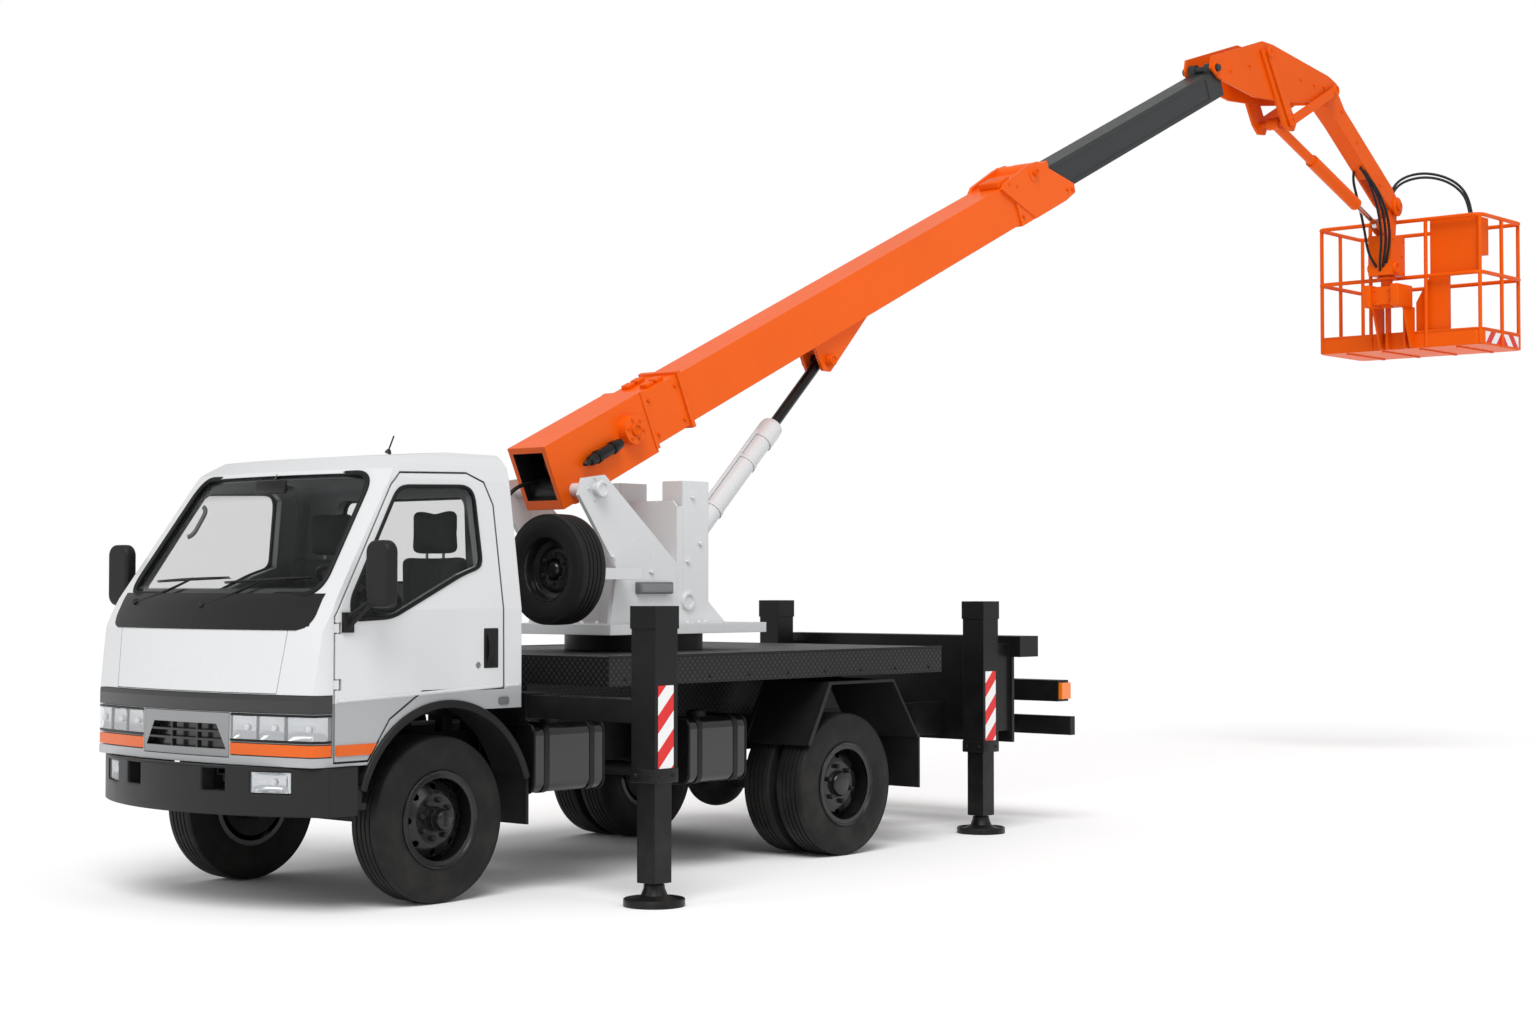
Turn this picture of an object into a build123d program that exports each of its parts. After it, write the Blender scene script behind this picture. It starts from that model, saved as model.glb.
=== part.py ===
"""Cherry picker truck: a forward-control lorry with four stabiliser legs, a slewing turret, a telescopic
boom,
a levelled jib and a work basket.

Lengths are millimetres and angles degrees. X runs forward from the front axle, Y to the left and Z up from
the
ground. Every piece is modelled about the front axle and moved by ORIGIN_SHIFT when it is written, so that the
origin of the files lies on the ground under the middle of the whole machine.
"""

import os
from math import cos, hypot, radians, sin

from build123d import *

# Wheels and axles
TYRE_DIA = 775
TYRE_WIDTH = 200
RIM_DIA = 436
WHEELBASE = 2780
REAR_AXLE_X = -WHEELBASE
FRONT_TYRE_Y = 700
KINGPIN_Y = 545
KINGPIN_R = 18
TWIN_SPACING = 230
REAR_TWIN_Y = 750
FRONT_SPINDLE_R = 30
REAR_SPINDLE_R = 42
BEAD_SHARE = 0.4
SHOULDER_SHARE = 0.44
TREAD_SHARE = 0.37
BULGE_RISE = 0.45
SHOULDER_DROP = 0.13
SHOULDER_ROUND = 0.035
SHOULDER_SWELL = 3
BARREL_SHARE = 0.43
BARREL_LIP = 26
BARREL_EDGE = 18
BARREL_WALL = 14
DISC_THICK = 12
FRONT_HAND_HOLES = (8, 153, 17)
REAR_HAND_HOLES = (6, 158, 20)
TWIN_OUTER_HUB = (-40, 104, 74)
TWIN_INNER_HUB = (-70, 104, 74)
TWIN_SPACER_R = 128
TWIN_SPACER = (132, 98)
TWIN_SPACER_BORE = (140, 90)
SPRING_HANG = 30
SPRING_EYE = 45
SPRING_BOW = 55
FRONT_SPRING = (40, 370)
REAR_SPRING = (50, 600)
AXLE_BEAM_HALF = 35
AXLE_BEAM_RISE = 45
KINGPIN_BOSS_R = 34
KINGPIN_BOSS_GAP = 0.5
KINGPIN_PAST = 8
AXLE_TUBE_R = 62
AXLE_TUBE_SHORT = 20
REAR_SPINDLE_SHORT = 20
DIFFERENTIAL_R = 172
NOSE_START = (120, 10)
NOSE_END = (290, 30)
NOSE_R = 75
SHAFT_START = (260, 25)
SHAFT_FRONT = (-909.5, 600)
SHAFT_R = 38
KNUCKLE_WEB = (46, 74)
KNUCKLE_WEB_HALF = 45
KNUCKLE_EAR_INSIDE = 36
KNUCKLE_EAR_OUTSIDE = 60
KNUCKLE_EAR_HALF = 36
SPINDLE_ROOT = 70
SPINDLE_SHORT = 12
ENGINE_X = (-300, 240)
ENGINE_HALF = 235
ENGINE_LOW_Z = 500
GEARBOX_REAR_X = -905
GEARBOX_HALF = 150
GEARBOX_Z = (540, 780)
CAB_CORNER_X = 660
CAB_CORNER_REACH = 190
CAB_CORNER_RUN = 0.72
CAB_CORNER_BOW = (0.62, 0.17)
RUN_FIT = 0.05
SEAT_FIT = 0.3

# Ladder frame
RAIL_OUTER_Y = 375
RAIL_WIDTH = 60
RAIL_LOW_Z = 560
RAIL_TOP_Z = 760
RAIL_FRONT_X = 395
RAIL_REAR_X = -4455
RAIL_WALL = 10

# Cab
CAB_HALF_WIDTH = 830
CAB_BACK_X = -470
CAB_WALL = 55
CAB_PIVOT_X = -2600
CAB_FLOOR_Z = 668
CAB_ROOF_Z = 2098
CAB_HEEL_X = -230
CAB_HEEL_Z = 890
ARCH_R = 540
ARCH_WALL = 40
CUT_Y = 900
ARCH_Z = 400
PANEL_DEPTH = 24
INTAKE_DEPTH = 46
PANEL_GAP = 3
GLASS_INSET = 14
GLASS_THICK = 6
DOOR_GAP = 9
DOOR_SKIN = 15
DOOR_REBATE = 9
DOOR_THICK = 55

# Bumper
BUMPER_FRONT_X = 945
BUMPER_HALF_WIDTH = 850
BUMPER_LOW_Z = 448
BUMPER_TOP_Z = 690
BUMPER_WALL = 70
BUMPER_CORNER_X = 700
BUMPER_END_X = 540
BUMPER_BOW_R = (
    BUMPER_HALF_WIDTH ** 2 / (BUMPER_FRONT_X - BUMPER_CORNER_X) + BUMPER_FRONT_X - BUMPER_CORNER_X
) / 2
FOG_LAMP = ((500, 550), (690, 550), (690, 645), (500, 645))
FOG_SET_BACK = 6
FOG_DEPTH = 34
TOW_POCKET = ((230, 555), (370, 555), (370, 655), (230, 655))

# Deck
DECK_FRONT_X = -940
DECK_REAR_X = -3655
DECK_HALF_WIDTH = 950
DECK_TOP_Z = 1120
DECK_SKIRT = 145
DECK_PLATE = 12
BEARER_WIDTH = 60

# Stabiliser legs
LEG_HOUSING = 150
LEG_TUBE = 112
LEG_PLAY = 0.8
LEG_TOP_Z = 1375
LEG_CAP = 105
LEG_CAP_LIP = 5
FOOT_DIA = 285
FOOT_STEM_R = 36
FRONT_LEG_X = -600
FRONT_LEG_Y = 1580
FRONT_HOUSING_LOW_Z = 565
REAR_LEG_X = -4245
REAR_LEG_Y = 800
REAR_HOUSING_LOW_Z = 480
LEG_RETRACT = 350
SLEEVE_LOW_Z = 826
SLEEVE_HEIGHT = 128
SLEEVE_WIDTH = 140
SLEEVE_HALF_LENGTH = 800
BEAM_INNER_Y = 520

# Turret
SLEW_X = -2100
RING_R = 380
RING_HEIGHT = 90
BASE_PLATE = 55
PIVOT_X = -1500
PIVOT_Z = 1975
PIVOT_R = 36
CHEEK_Y = 285
CHEEK_THICK = 25
BOX_INNER_Y = 160
BOX_FRONT_X = -2160
BOX_REAR_X = -2370
BOX_TOP_Z = 2040
LIFT_BASE_X = -2200
LIFT_BASE_Z = 1385
LIFT_PIN_R = 30

# Boom: u runs along it from its pivot pin, v square to it and up
BOOM_ANGLE = 24.65
BOOM_V = 122
OUTER_HEIGHT = 285
OUTER_WIDTH = 240
OUTER_WALL = 9
OUTER_END_U = 5000
BASE_START_U = -110
BASE_END_U = 690
BASE_HALF_WIDTH = 140
COLLAR_END_U = 1010
COLLAR_HALF_WIDTH = 147
LUG_U = 2360
LUG_V = -150
LUG_GAP = 100
LUG_THICK = 22
INNER_HEIGHT = 205
INNER_WIDTH = 184
INNER_WALL = 10
INNER_START_U = 2600
INNER_END_U = 7560
GROOVE_DEPTH = 5
GROOVE_EDGE = 30

# Lift cylinder
LIFT_BARREL_R = 62
LIFT_BARREL_LENGTH = 1480
LIFT_ROD_R = 32
LIFT_EYE_R = 42

# Jib head, jib arm and basket mount: pins in X and Z
HEAD_PIN_U = 7480
HEAD_PIN_V = 245
KNUCKLE_X = -10020
KNUCKLE_Z = 5430
JIB_END_X = -11250
JIB_END_Z = 4650
MOUNT_X = -11190
MOUNT_LOW_Z = 3800
HEAD_PLATE_GAP = 200
HEAD_PLATE = 18
JIB_WIDTH = 130
JIB_HEIGHT = 170
JIB_PIN_R = 26
CROSS_TUBE_X = -9290
CROSS_TUBE_Z = 5075
LEVEL_END_X = -11000
LEVEL_END_Z = 4480

# Basket
BASKET_FRONT_X = -11400
BASKET_LENGTH = 800
BASKET_HALF_WIDTH = 740
BASKET_LOW_Z = 3465
BASKET_HEIGHT = 1095
TOE_HEIGHT = 135
RAIL_R = 17
BASKET_CORNER_R = 70

ORIGIN_SHIFT = -(BUMPER_FRONT_X + BASKET_FRONT_X - BASKET_LENGTH - RAIL_R) / 2


def span_box(x, y, z, mode=Mode.ADD):
    """A box between two X, two Y and two Z values of the block's own plane."""
    with Locations(((x[0] + x[1]) / 2, (y[0] + y[1]) / 2, (z[0] + z[1]) / 2)):
        Box(abs(x[1] - x[0]), abs(y[1] - y[0]), abs(z[1] - z[0]), mode=mode)


def both_sides(y0, y1):
    """The left and the right span of a pair of pieces."""
    return ((y0, y1), (-y1, -y0))


def side_plane(y):
    """A plane facing right at that Y, whose own axes are X and Z."""
    return Plane.XZ.offset(-y)


def link_plane(start, end):
    """A plane on a pin at start, in X and Z, whose first axis runs to end and whose normal is the Y axis."""
    length = hypot(end[0] - start[0], end[1] - start[1])
    along = ((end[0] - start[0]) / length, 0, (end[1] - start[1]) / length)
    return Plane(origin=(start[0], 0, start[1]), x_dir=along, z_dir=(0, 1, 0))


def axle_plane(x, y, z):
    """A plane through a wheel's centre: its first axis is the axle, to the left, and its second is up."""
    return Plane(origin=(x, y, z), x_dir=(0, 1, 0), z_dir=(1, 0, 0))


def outline(plane, points, corner=0, grow=0):
    """A closed straight-sided face on a plane, moved out on every side, with its corners rounded."""
    with BuildSketch(plane) as section:
        with BuildLine():
            Polyline(*points, close=True)
        make_face()
        if grow:
            offset(amount=grow, kind=Kind.INTERSECTION)
        if corner:
            fillet(section.vertices(), radius=corner)
    return section.sketch


def disc(plane, centre, radius):
    """A round face on a plane."""
    with BuildSketch(plane) as section:
        with Locations(centre):
            Circle(radius)
    return section.sketch


def round_bar(start, end, radius):
    """A round bar between two points."""
    direction = Vector(*end) - Vector(*start)
    extrude(disc(Plane(origin=start, z_dir=direction), (0, 0), radius), amount=direction.length)


def cross_pin(x, z, radius, y0, y1, mode=Mode.ADD):
    """A pin along Y between two Y values."""
    extrude(disc(side_plane(y0), (x, z), radius), amount=-(y1 - y0), mode=mode)


def boom_point(u, v):
    """The X and Z of a point given along and across the boom."""
    a = radians(BOOM_ANGLE)
    return PIVOT_X - u * cos(a) + v * sin(a), PIVOT_Z + u * sin(a) + v * cos(a)


def write(block, name):
    """Labels a finished piece, moves it to the machine's origin and writes its file."""
    piece = block.part.moved(Location((ORIGIN_SHIFT, 0, 0)))
    piece.label = name
    export_step(piece, f"parts/{name}.step")


os.makedirs("parts", exist_ok=True)
TYRE_R = TYRE_DIA / 2
RIM_R = RIM_DIA / 2
LEFT_RIGHT = (("left", 1), ("right", -1))


# Tyres and rims
def tyre_section(plane):
    """Half of it: bead, bulged sidewall, rounded shoulder and flat tread, then mirrored about the tyre's
    middle."""
    bead = TYRE_WIDTH * BEAD_SHARE
    bulge = TYRE_WIDTH / 2
    shoulder = TYRE_WIDTH * SHOULDER_SHARE
    tread = TYRE_WIDTH * TREAD_SHARE
    depth = TYRE_R - RIM_R
    with BuildSketch(plane) as section:
        with BuildLine():
            Line((0, RIM_R), (bead, RIM_R))
            shoulder_r = TYRE_R - depth * SHOULDER_DROP
            ThreePointArc((bead, RIM_R), (bulge, RIM_R + depth * BULGE_RISE), (shoulder, shoulder_r))
            ThreePointArc(
                (shoulder, shoulder_r),
                ((shoulder + tread) / 2 + SHOULDER_SWELL, TYRE_R - depth * SHOULDER_ROUND),
                (tread, TYRE_R),
            )
            Line((tread, TYRE_R), (0, TYRE_R))
            Line((0, TYRE_R), (0, RIM_R))
        make_face()
        mirror(about=Plane.YZ)
    return section.sketch


def turn_tyre(x, y, z):
    """A tyre about a wheel's centre."""
    revolve(tyre_section(axle_plane(x, y, z)), axis=Axis((x, y, z), (0, 1, 0)))


def turn_rim(x, y, z, outward, dish, hub, bore_r):
    """A barrel with flanges, a disc from the (offset, radius) rows of dish, and a bored hub.

    Offsets count outwards from the tyre's middle. hub is its (inner offset, outer offset, radius).
    """
    plane = axle_plane(x, y, z)
    half = TYRE_WIDTH * BARREL_SHARE
    outer = RIM_R - SEAT_FIT
    lip = outer - BARREL_LIP
    wall = outer - BARREL_WALL
    barrel = (
        (-half, outer), (half, outer), (half, lip), (half - BARREL_EDGE, wall), (BARREL_EDGE - half, wall),
        (-half, lip),
    )
    axis = Axis((x, y, z), (0, 1, 0))
    back = [(outward * (o - DISC_THICK), r) for o, r in reversed(dish)]
    web = [(outward * o, r) for o, r in dish] + back
    inner, tip, radius = hub
    boss = [(outward * o, r) for o, r in ((inner, bore_r), (tip, bore_r), (tip, radius), (inner, radius))]
    for section in (barrel, web, boss):
        revolve(outline(plane, section), axis=axis)


def hand_holes(x, y, z, count, circle_r, hole_r):
    """A ring of holes through a wheel's disc."""
    with BuildSketch(Plane(origin=(x, y, z), x_dir=(1, 0, 0), z_dir=(0, -1, 0))) as section:
        with PolarLocations(circle_r, count, start_angle=90):
            Circle(hole_r)
    extrude(section.sketch, amount=TYRE_WIDTH, both=True, mode=Mode.SUBTRACT)


RIM_SEAT = RIM_R - 10
FRONT_DISC = ((-18, RIM_SEAT), (24, 176), (46, 132), (52, 118), (52, 40))
FRONT_HUB = (-62, 92, 58)
TWIN_DISC = ((46, RIM_SEAT), (40, 184), (-12, 158), (-20, 120), (-20, 50))
for side, sign in LEFT_RIGHT:
    with BuildPart() as front_tyre:
        turn_tyre(0, sign * FRONT_TYRE_Y, TYRE_R)
    write(front_tyre, f"front_tyre_{side}")
    with BuildPart() as front_rim:
        turn_rim(0, sign * FRONT_TYRE_Y, TYRE_R, sign, FRONT_DISC, FRONT_HUB, FRONT_SPINDLE_R + RUN_FIT)
        hand_holes(0, sign * FRONT_TYRE_Y, TYRE_R, *FRONT_HAND_HOLES)
    write(front_rim, f"front_rim_{side}")
    with BuildPart() as rear_tyres:
        for row in (-1, 1):
            turn_tyre(-WHEELBASE, sign * REAR_TWIN_Y + row * TWIN_SPACING / 2, TYRE_R)
    write(rear_tyres, f"rear_tyres_{side}")
    with BuildPart() as rear_rims:
        outer_y = sign * (REAR_TWIN_Y + TWIN_SPACING / 2)
        inner_y = sign * (REAR_TWIN_Y - TWIN_SPACING / 2)
        turn_rim(-WHEELBASE, outer_y, TYRE_R, -sign, TWIN_DISC, TWIN_OUTER_HUB, REAR_SPINDLE_R + RUN_FIT)
        turn_rim(-WHEELBASE, inner_y, TYRE_R, sign, TWIN_DISC, TWIN_INNER_HUB, REAR_SPINDLE_R + RUN_FIT)
        spacer = sorted(outer_y - sign * offset_y for offset_y in TWIN_SPACER)
        cross_pin(-WHEELBASE, TYRE_R, TWIN_SPACER_R, *spacer)
        bore = sorted(outer_y - sign * offset_y for offset_y in TWIN_SPACER_BORE)
        cross_pin(-WHEELBASE, TYRE_R, REAR_SPINDLE_R + RUN_FIT, *bore, mode=Mode.SUBTRACT)
        hand_holes(-WHEELBASE, outer_y, TYRE_R, *REAR_HAND_HOLES)
    write(rear_rims, f"rear_rims_{side}")


# Steering knuckles: a fork on the kingpin that carries the front wheel's spindle
KNUCKLE_EAR = 26
KNUCKLE_EAR_Z = 52
for side, sign in LEFT_RIGHT:
    with BuildPart() as knuckle:
        web = sorted(sign * (KINGPIN_Y + out) for out in KNUCKLE_WEB)
        web_z = (TYRE_R - KNUCKLE_EAR_Z - KNUCKLE_EAR, TYRE_R + KNUCKLE_EAR_Z + KNUCKLE_EAR)
        span_box((-KNUCKLE_WEB_HALF, KNUCKLE_WEB_HALF), web, web_z)
        for level in (TYRE_R - KNUCKLE_EAR_Z - KNUCKLE_EAR, TYRE_R + KNUCKLE_EAR_Z):
            reach = (KINGPIN_Y - KNUCKLE_EAR_INSIDE, KINGPIN_Y + KNUCKLE_EAR_OUTSIDE)
            ears = sorted(sign * y for y in reach)
            span_box((-KNUCKLE_EAR_HALF, KNUCKLE_EAR_HALF), ears, (level, level + KNUCKLE_EAR))
        tip = FRONT_TYRE_Y + FRONT_HUB[1] - SPINDLE_SHORT
        spindle = sorted((sign * (KINGPIN_Y + SPINDLE_ROOT), sign * tip))
        cross_pin(0, TYRE_R, FRONT_SPINDLE_R, *spindle)
        with BuildSketch(Plane.XY):
            with Locations((0, sign * KINGPIN_Y)):
                Circle(KINGPIN_R + RUN_FIT)
        extrude(amount=TYRE_DIA, mode=Mode.SUBTRACT)
    write(knuckle, f"steering_knuckle_{side}")


# Front axle: a beam with its kingpins, and the springs that carry it under the frame
SPRING_Y = 330
SPRING_WIDTH = 60


def leaf_spring(x, low_z, half_length):
    """A pair of bowed leaf packs whose eyes reach up to the rails."""
    for y0, y1 in both_sides(SPRING_Y - SPRING_WIDTH / 2, SPRING_Y + SPRING_WIDTH / 2):
        with BuildSketch(side_plane(y0)) as section:
            with BuildLine():
                ends_z = RAIL_LOW_Z - SPRING_HANG
                ThreePointArc((x - half_length, ends_z), (x, low_z), (x + half_length, ends_z))
                Line((x + half_length, ends_z), (x + half_length, RAIL_LOW_Z))
                Line((x + half_length, RAIL_LOW_Z), (x + half_length - SPRING_EYE, RAIL_LOW_Z))
                ThreePointArc(
                    (x + half_length - SPRING_EYE, RAIL_LOW_Z), (x, low_z + SPRING_BOW),
                    (x - half_length + SPRING_EYE, RAIL_LOW_Z),
                )
                Line((x - half_length + SPRING_EYE, RAIL_LOW_Z), (x - half_length, RAIL_LOW_Z))
                Line((x - half_length, RAIL_LOW_Z), (x - half_length, ends_z))
            make_face()
        extrude(section.sketch, amount=-(y1 - y0))


with BuildPart() as front_axle:
    beam_z = (TYRE_R - AXLE_BEAM_RISE, TYRE_R + AXLE_BEAM_RISE)
    span_box((-AXLE_BEAM_HALF, AXLE_BEAM_HALF), (-KINGPIN_Y, KINGPIN_Y), beam_z)
    boss = (KINGPIN_BOSS_R, KNUCKLE_EAR_Z - KINGPIN_BOSS_GAP)
    pin = (KINGPIN_R, KNUCKLE_EAR_Z + KNUCKLE_EAR + KINGPIN_PAST)
    for sign in (-1, 1):
        for radius, reach in (boss, pin):
            with BuildSketch(Plane.XY.offset(TYRE_R - reach)):
                with Locations((0, sign * KINGPIN_Y)):
                    Circle(radius)
            extrude(amount=2 * reach)
    leaf_spring(0, TYRE_R + FRONT_SPRING[0], FRONT_SPRING[1])
write(front_axle, "front_axle")

# Rear axle: tubes, differential and propeller shaft, springs and wheel spindles
with BuildPart() as rear_axle:
    tube_end = REAR_TWIN_Y - TWIN_SPACING - AXLE_TUBE_SHORT
    cross_pin(-WHEELBASE, TYRE_R, AXLE_TUBE_R, -tube_end, tube_end)
    spindle_end = REAR_TWIN_Y + TWIN_SPACING / 2 - REAR_SPINDLE_SHORT
    cross_pin(-WHEELBASE, TYRE_R, REAR_SPINDLE_R, -spindle_end, spindle_end)
    with Locations((-WHEELBASE, 0, TYRE_R)):
        Sphere(DIFFERENTIAL_R)
    nose = [(-WHEELBASE + ahead, 0, TYRE_R + up) for ahead, up in (NOSE_START, NOSE_END)]
    round_bar(*nose, NOSE_R)
    shaft = (-WHEELBASE + SHAFT_START[0], 0, TYRE_R + SHAFT_START[1])
    round_bar(shaft, (SHAFT_FRONT[0], 0, SHAFT_FRONT[1]), SHAFT_R)
    leaf_spring(-WHEELBASE, TYRE_R + REAR_SPRING[0], REAR_SPRING[1])
write(rear_axle, "rear_axle")

# Engine and gearbox, a plain block between the rails
ENGINE_TOP_Z = 800
with BuildPart() as engine_block:
    span_box(ENGINE_X, (-ENGINE_HALF, ENGINE_HALF), (ENGINE_LOW_Z, ENGINE_TOP_Z))
    span_box((GEARBOX_REAR_X, ENGINE_X[0]), (-GEARBOX_HALF, GEARBOX_HALF), GEARBOX_Z)
write(engine_block, "engine_block")

# Ladder frame: two channel rails and the cross members between them
CROSS_MEMBERS_X = (340, -1150, -1900, -3300, -4000)
with BuildPart() as chassis_frame:
    for y0, y1 in both_sides(RAIL_OUTER_Y - RAIL_WIDTH, RAIL_OUTER_Y):
        span_box((RAIL_REAR_X, RAIL_FRONT_X), (y0, y1), (RAIL_LOW_Z, RAIL_TOP_Z))
        hollow = (y0 - 1, y1 - RAIL_WALL) if y0 > 0 else (y0 + RAIL_WALL, y1 + 1)
        span_box(
            (RAIL_REAR_X - 1, RAIL_FRONT_X + 1), hollow, (RAIL_LOW_Z + RAIL_WALL, RAIL_TOP_Z - RAIL_WALL),
            mode=Mode.SUBTRACT
        )
    inside = RAIL_OUTER_Y - RAIL_WALL
    for x in CROSS_MEMBERS_X:
        span_box((x - 35, x + 35), (-inside, inside), (RAIL_LOW_Z + 60, RAIL_TOP_Z - RAIL_WALL))
    for y0, y1 in both_sides(RAIL_OUTER_Y - RAIL_WIDTH, RAIL_OUTER_Y):
        span_box((CAB_BACK_X + 30, CAB_BACK_X + 90), (y0, y1), (RAIL_TOP_Z - RAIL_WALL, CAB_HEEL_Z))
write(chassis_frame, "chassis_frame")


# Cab: the side outline swept round an upright axis far behind gives the bowed front and windscreen
CAB_PROFILE = (
    (862, CAB_FLOOR_Z), (858, 960), (820, 1270), (752, 1405), (338, 2008), (215, 2076), (-60, CAB_ROOF_Z),
    (CAB_PIVOT_X, CAB_ROOF_Z - 18)
)
CAB_OUTLINE = (
    (CAB_HALF_WIDTH, CAB_FLOOR_Z), (CAB_HALF_WIDTH, 1360), (742, 1965), (722, 2032), (680, 2076),
    (600, 2130)
)
DOOR_SECTION = ((CAB_HALF_WIDTH, CAB_FLOOR_Z - 200), *CAB_OUTLINE[1:4], (700, CAB_ROOF_Z + 200))


def side_prism(points, y0, y1, grow=0):
    """A straight-sided shape drawn in X and Z, between two Y values."""
    with BuildPart() as prism:
        extrude(outline(side_plane(y0), points, 0, grow), amount=-(y1 - y0))
    return prism.part


def front_prism(points, x0, x1, corner=0, grow=0):
    """A straight-sided shape drawn in Y and Z, between two X values, with its corners rounded."""
    with BuildPart() as prism:
        extrude(outline(Plane.YZ.offset(x0), points, corner, grow), amount=x1 - x0)
    return prism.part


def mirrored(points):
    """An outline drawn for positive Y, closed by its mirror image."""
    return (*points, *[(-y, z) for y, z in reversed(points)])


def cab_form(inset):
    """The closed outer form of the cab, or the same form taken in on every side."""
    half = CAB_HALF_WIDTH - inset
    nose = BUMPER_FRONT_X
    with BuildPart() as form:
        side = outline(Plane.XZ, ((CAB_PIVOT_X, CAB_FLOOR_Z), *CAB_PROFILE))
        front = outline(Plane.YZ.offset(CAB_BACK_X + inset), mirrored(CAB_OUTLINE))
        if inset:
            side = offset(side, amount=-inset, kind=Kind.INTERSECTION, mode=Mode.PRIVATE)
            front = offset(front, amount=-inset, kind=Kind.INTERSECTION, mode=Mode.PRIVATE)
        revolve(side, axis=Axis((CAB_PIVOT_X + inset, 0, 0), (0, 0, 1)))
        extrude(front, amount=1500, mode=Mode.INTERSECT)
        with BuildSketch(Plane.XY) as plan:
            with BuildLine():
                front_x = CAB_CORNER_X + CAB_CORNER_REACH - inset
                bow = CAB_CORNER_X + CAB_CORNER_REACH * CAB_CORNER_BOW[0]
                run = half - CAB_CORNER_REACH * CAB_CORNER_RUN
                side_bow = half - CAB_CORNER_REACH * CAB_CORNER_BOW[1]
                Polyline((CAB_CORNER_X, half), (CAB_BACK_X, half), (CAB_BACK_X, -half), (CAB_CORNER_X, -half))
                Line((front_x, run), (nose, 0))
                Line((front_x, -run), (nose, 0))
                ThreePointArc((CAB_CORNER_X, half), (bow, side_bow), (front_x, run))
                ThreePointArc((CAB_CORNER_X, -half), (bow, -side_bow), (front_x, -run))
            make_face()
        extrude(plan.sketch, amount=2 * CAB_ROOF_Z, mode=Mode.INTERSECT)
    return form.part


OUTER_FORM = cab_form(0)
INNER_FORM = cab_form(CAB_WALL)
PANEL_FORM = cab_form(PANEL_DEPTH)
RECESS_FORM = cab_form(PANEL_DEPTH + 1)
INTAKE_FORM = cab_form(INTAKE_DEPTH)
GLASS_OUT = cab_form(GLASS_INSET)
GLASS_IN = cab_form(GLASS_INSET + GLASS_THICK)
PANEL_SKIN = OUTER_FORM - PANEL_FORM
RECESS_SKIN = OUTER_FORM - RECESS_FORM
INTAKE_SKIN = OUTER_FORM - INTAKE_FORM
GLASS_SKIN = GLASS_OUT - GLASS_IN

DOOR = (
    (655, 690), (655, 1330), (265, 1930), (205, 1985), (-200, 1995), (-300, 1955), (-345, 1850),
    (-352, 990), (150, 990), (345, 870), (470, 690)
)
DOOR_WINDOW = (
    (560, 1315), (565, 1400), (245, 1895), (200, 1925), (-190, 1936), (-230, 1900), (-238, 1560),
    (-110, 1520), (330, 1325)
)
SCREEN = ((720, 1428), (636, 1988))
SCREEN_CORNER_R = 80
BACK_WINDOW = ((500, 1480), (480, 1900))
FRONT_PANEL = ((600, 990), (630, 1283))
COWL = ((735, 1291), (712, 1404))
STRIP = ((CUT_Y, 905), (CUT_Y, 982))
HEADLAMP = ((335, 775), (CUT_Y, 775), (CUT_Y, 897), (335, 897))
MARKER = ((335, 712), (CUT_Y, 712), (CUT_Y, 767), (335, 767))
GRILLE = ((320, 700), (320, 897))
INTAKE = ((300, 735), (235, 845))
INTAKE_BARS_Z = (768, 806)
INTAKE_RIBS_Y = (-95, 95)
INTAKE_BAR = 10


HINGE_X = DOOR[0][0] - 16
HINGE_Y = CAB_HALF_WIDTH - 8
HINGE_PIN_R = 5
HINGE_LEVELS = (1030, 1280)
HINGE_ARM = 20
HINGE_KNUCKLE = 20
HINGE_CLEAR = 5


def hinge_pins(radius, mode=Mode.ADD):
    """The upright pins of the door hinges, or the bores for them."""
    reach = HINGE_ARM + HINGE_KNUCKLE
    for level in HINGE_LEVELS:
        for y in (HINGE_Y, -HINGE_Y):
            extrude(disc(Plane.XY.offset(level - reach), (HINGE_X, y), radius), amount=2 * reach, mode=mode)


def front_piece(points, grow=0):
    """A prism through the cab's front, ahead of the doors, for a panel or a lamp."""
    return front_prism(points, DOOR[0][0] + DOOR_GAP + 6 - grow, BUMPER_FRONT_X + 155, 0, grow)


def pair(points):
    """The same outline on the left and on the right."""
    return points, [(-y, z) for y, z in reversed(points)]


def door_slab(inset):
    """The side walls of the cab as two upright slabs that reach in by inset from the outer skin."""
    inside = offset(
        outline(Plane.YZ.offset(CAB_BACK_X), mirrored(DOOR_SECTION)), amount=-inset,
        kind=Kind.INTERSECTION, mode=Mode.PRIVATE
    )
    with BuildPart() as hollow:
        extrude(inside, amount=BUMPER_FRONT_X - CAB_BACK_X)
    return OUTER_FORM - hollow.part


SCREEN_HOLE = front_prism(mirrored(SCREEN), 100, 1100, SCREEN_CORNER_R)
BACK_HOLE = front_prism(mirrored(BACK_WINDOW), CAB_BACK_X - 60, CAB_BACK_X + 150, 60)

with BuildPart() as cavity:
    add(INNER_FORM)
    cross_pin(0, ARCH_Z, ARCH_R + ARCH_WALL, -CUT_Y, CUT_Y, mode=Mode.SUBTRACT)
    span_box(
        (CAB_BACK_X - 10, CAB_HEEL_X + CAB_WALL), (-CUT_Y, CUT_Y), (600, CAB_HEEL_Z + 50),
        mode=Mode.SUBTRACT
    )

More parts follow.
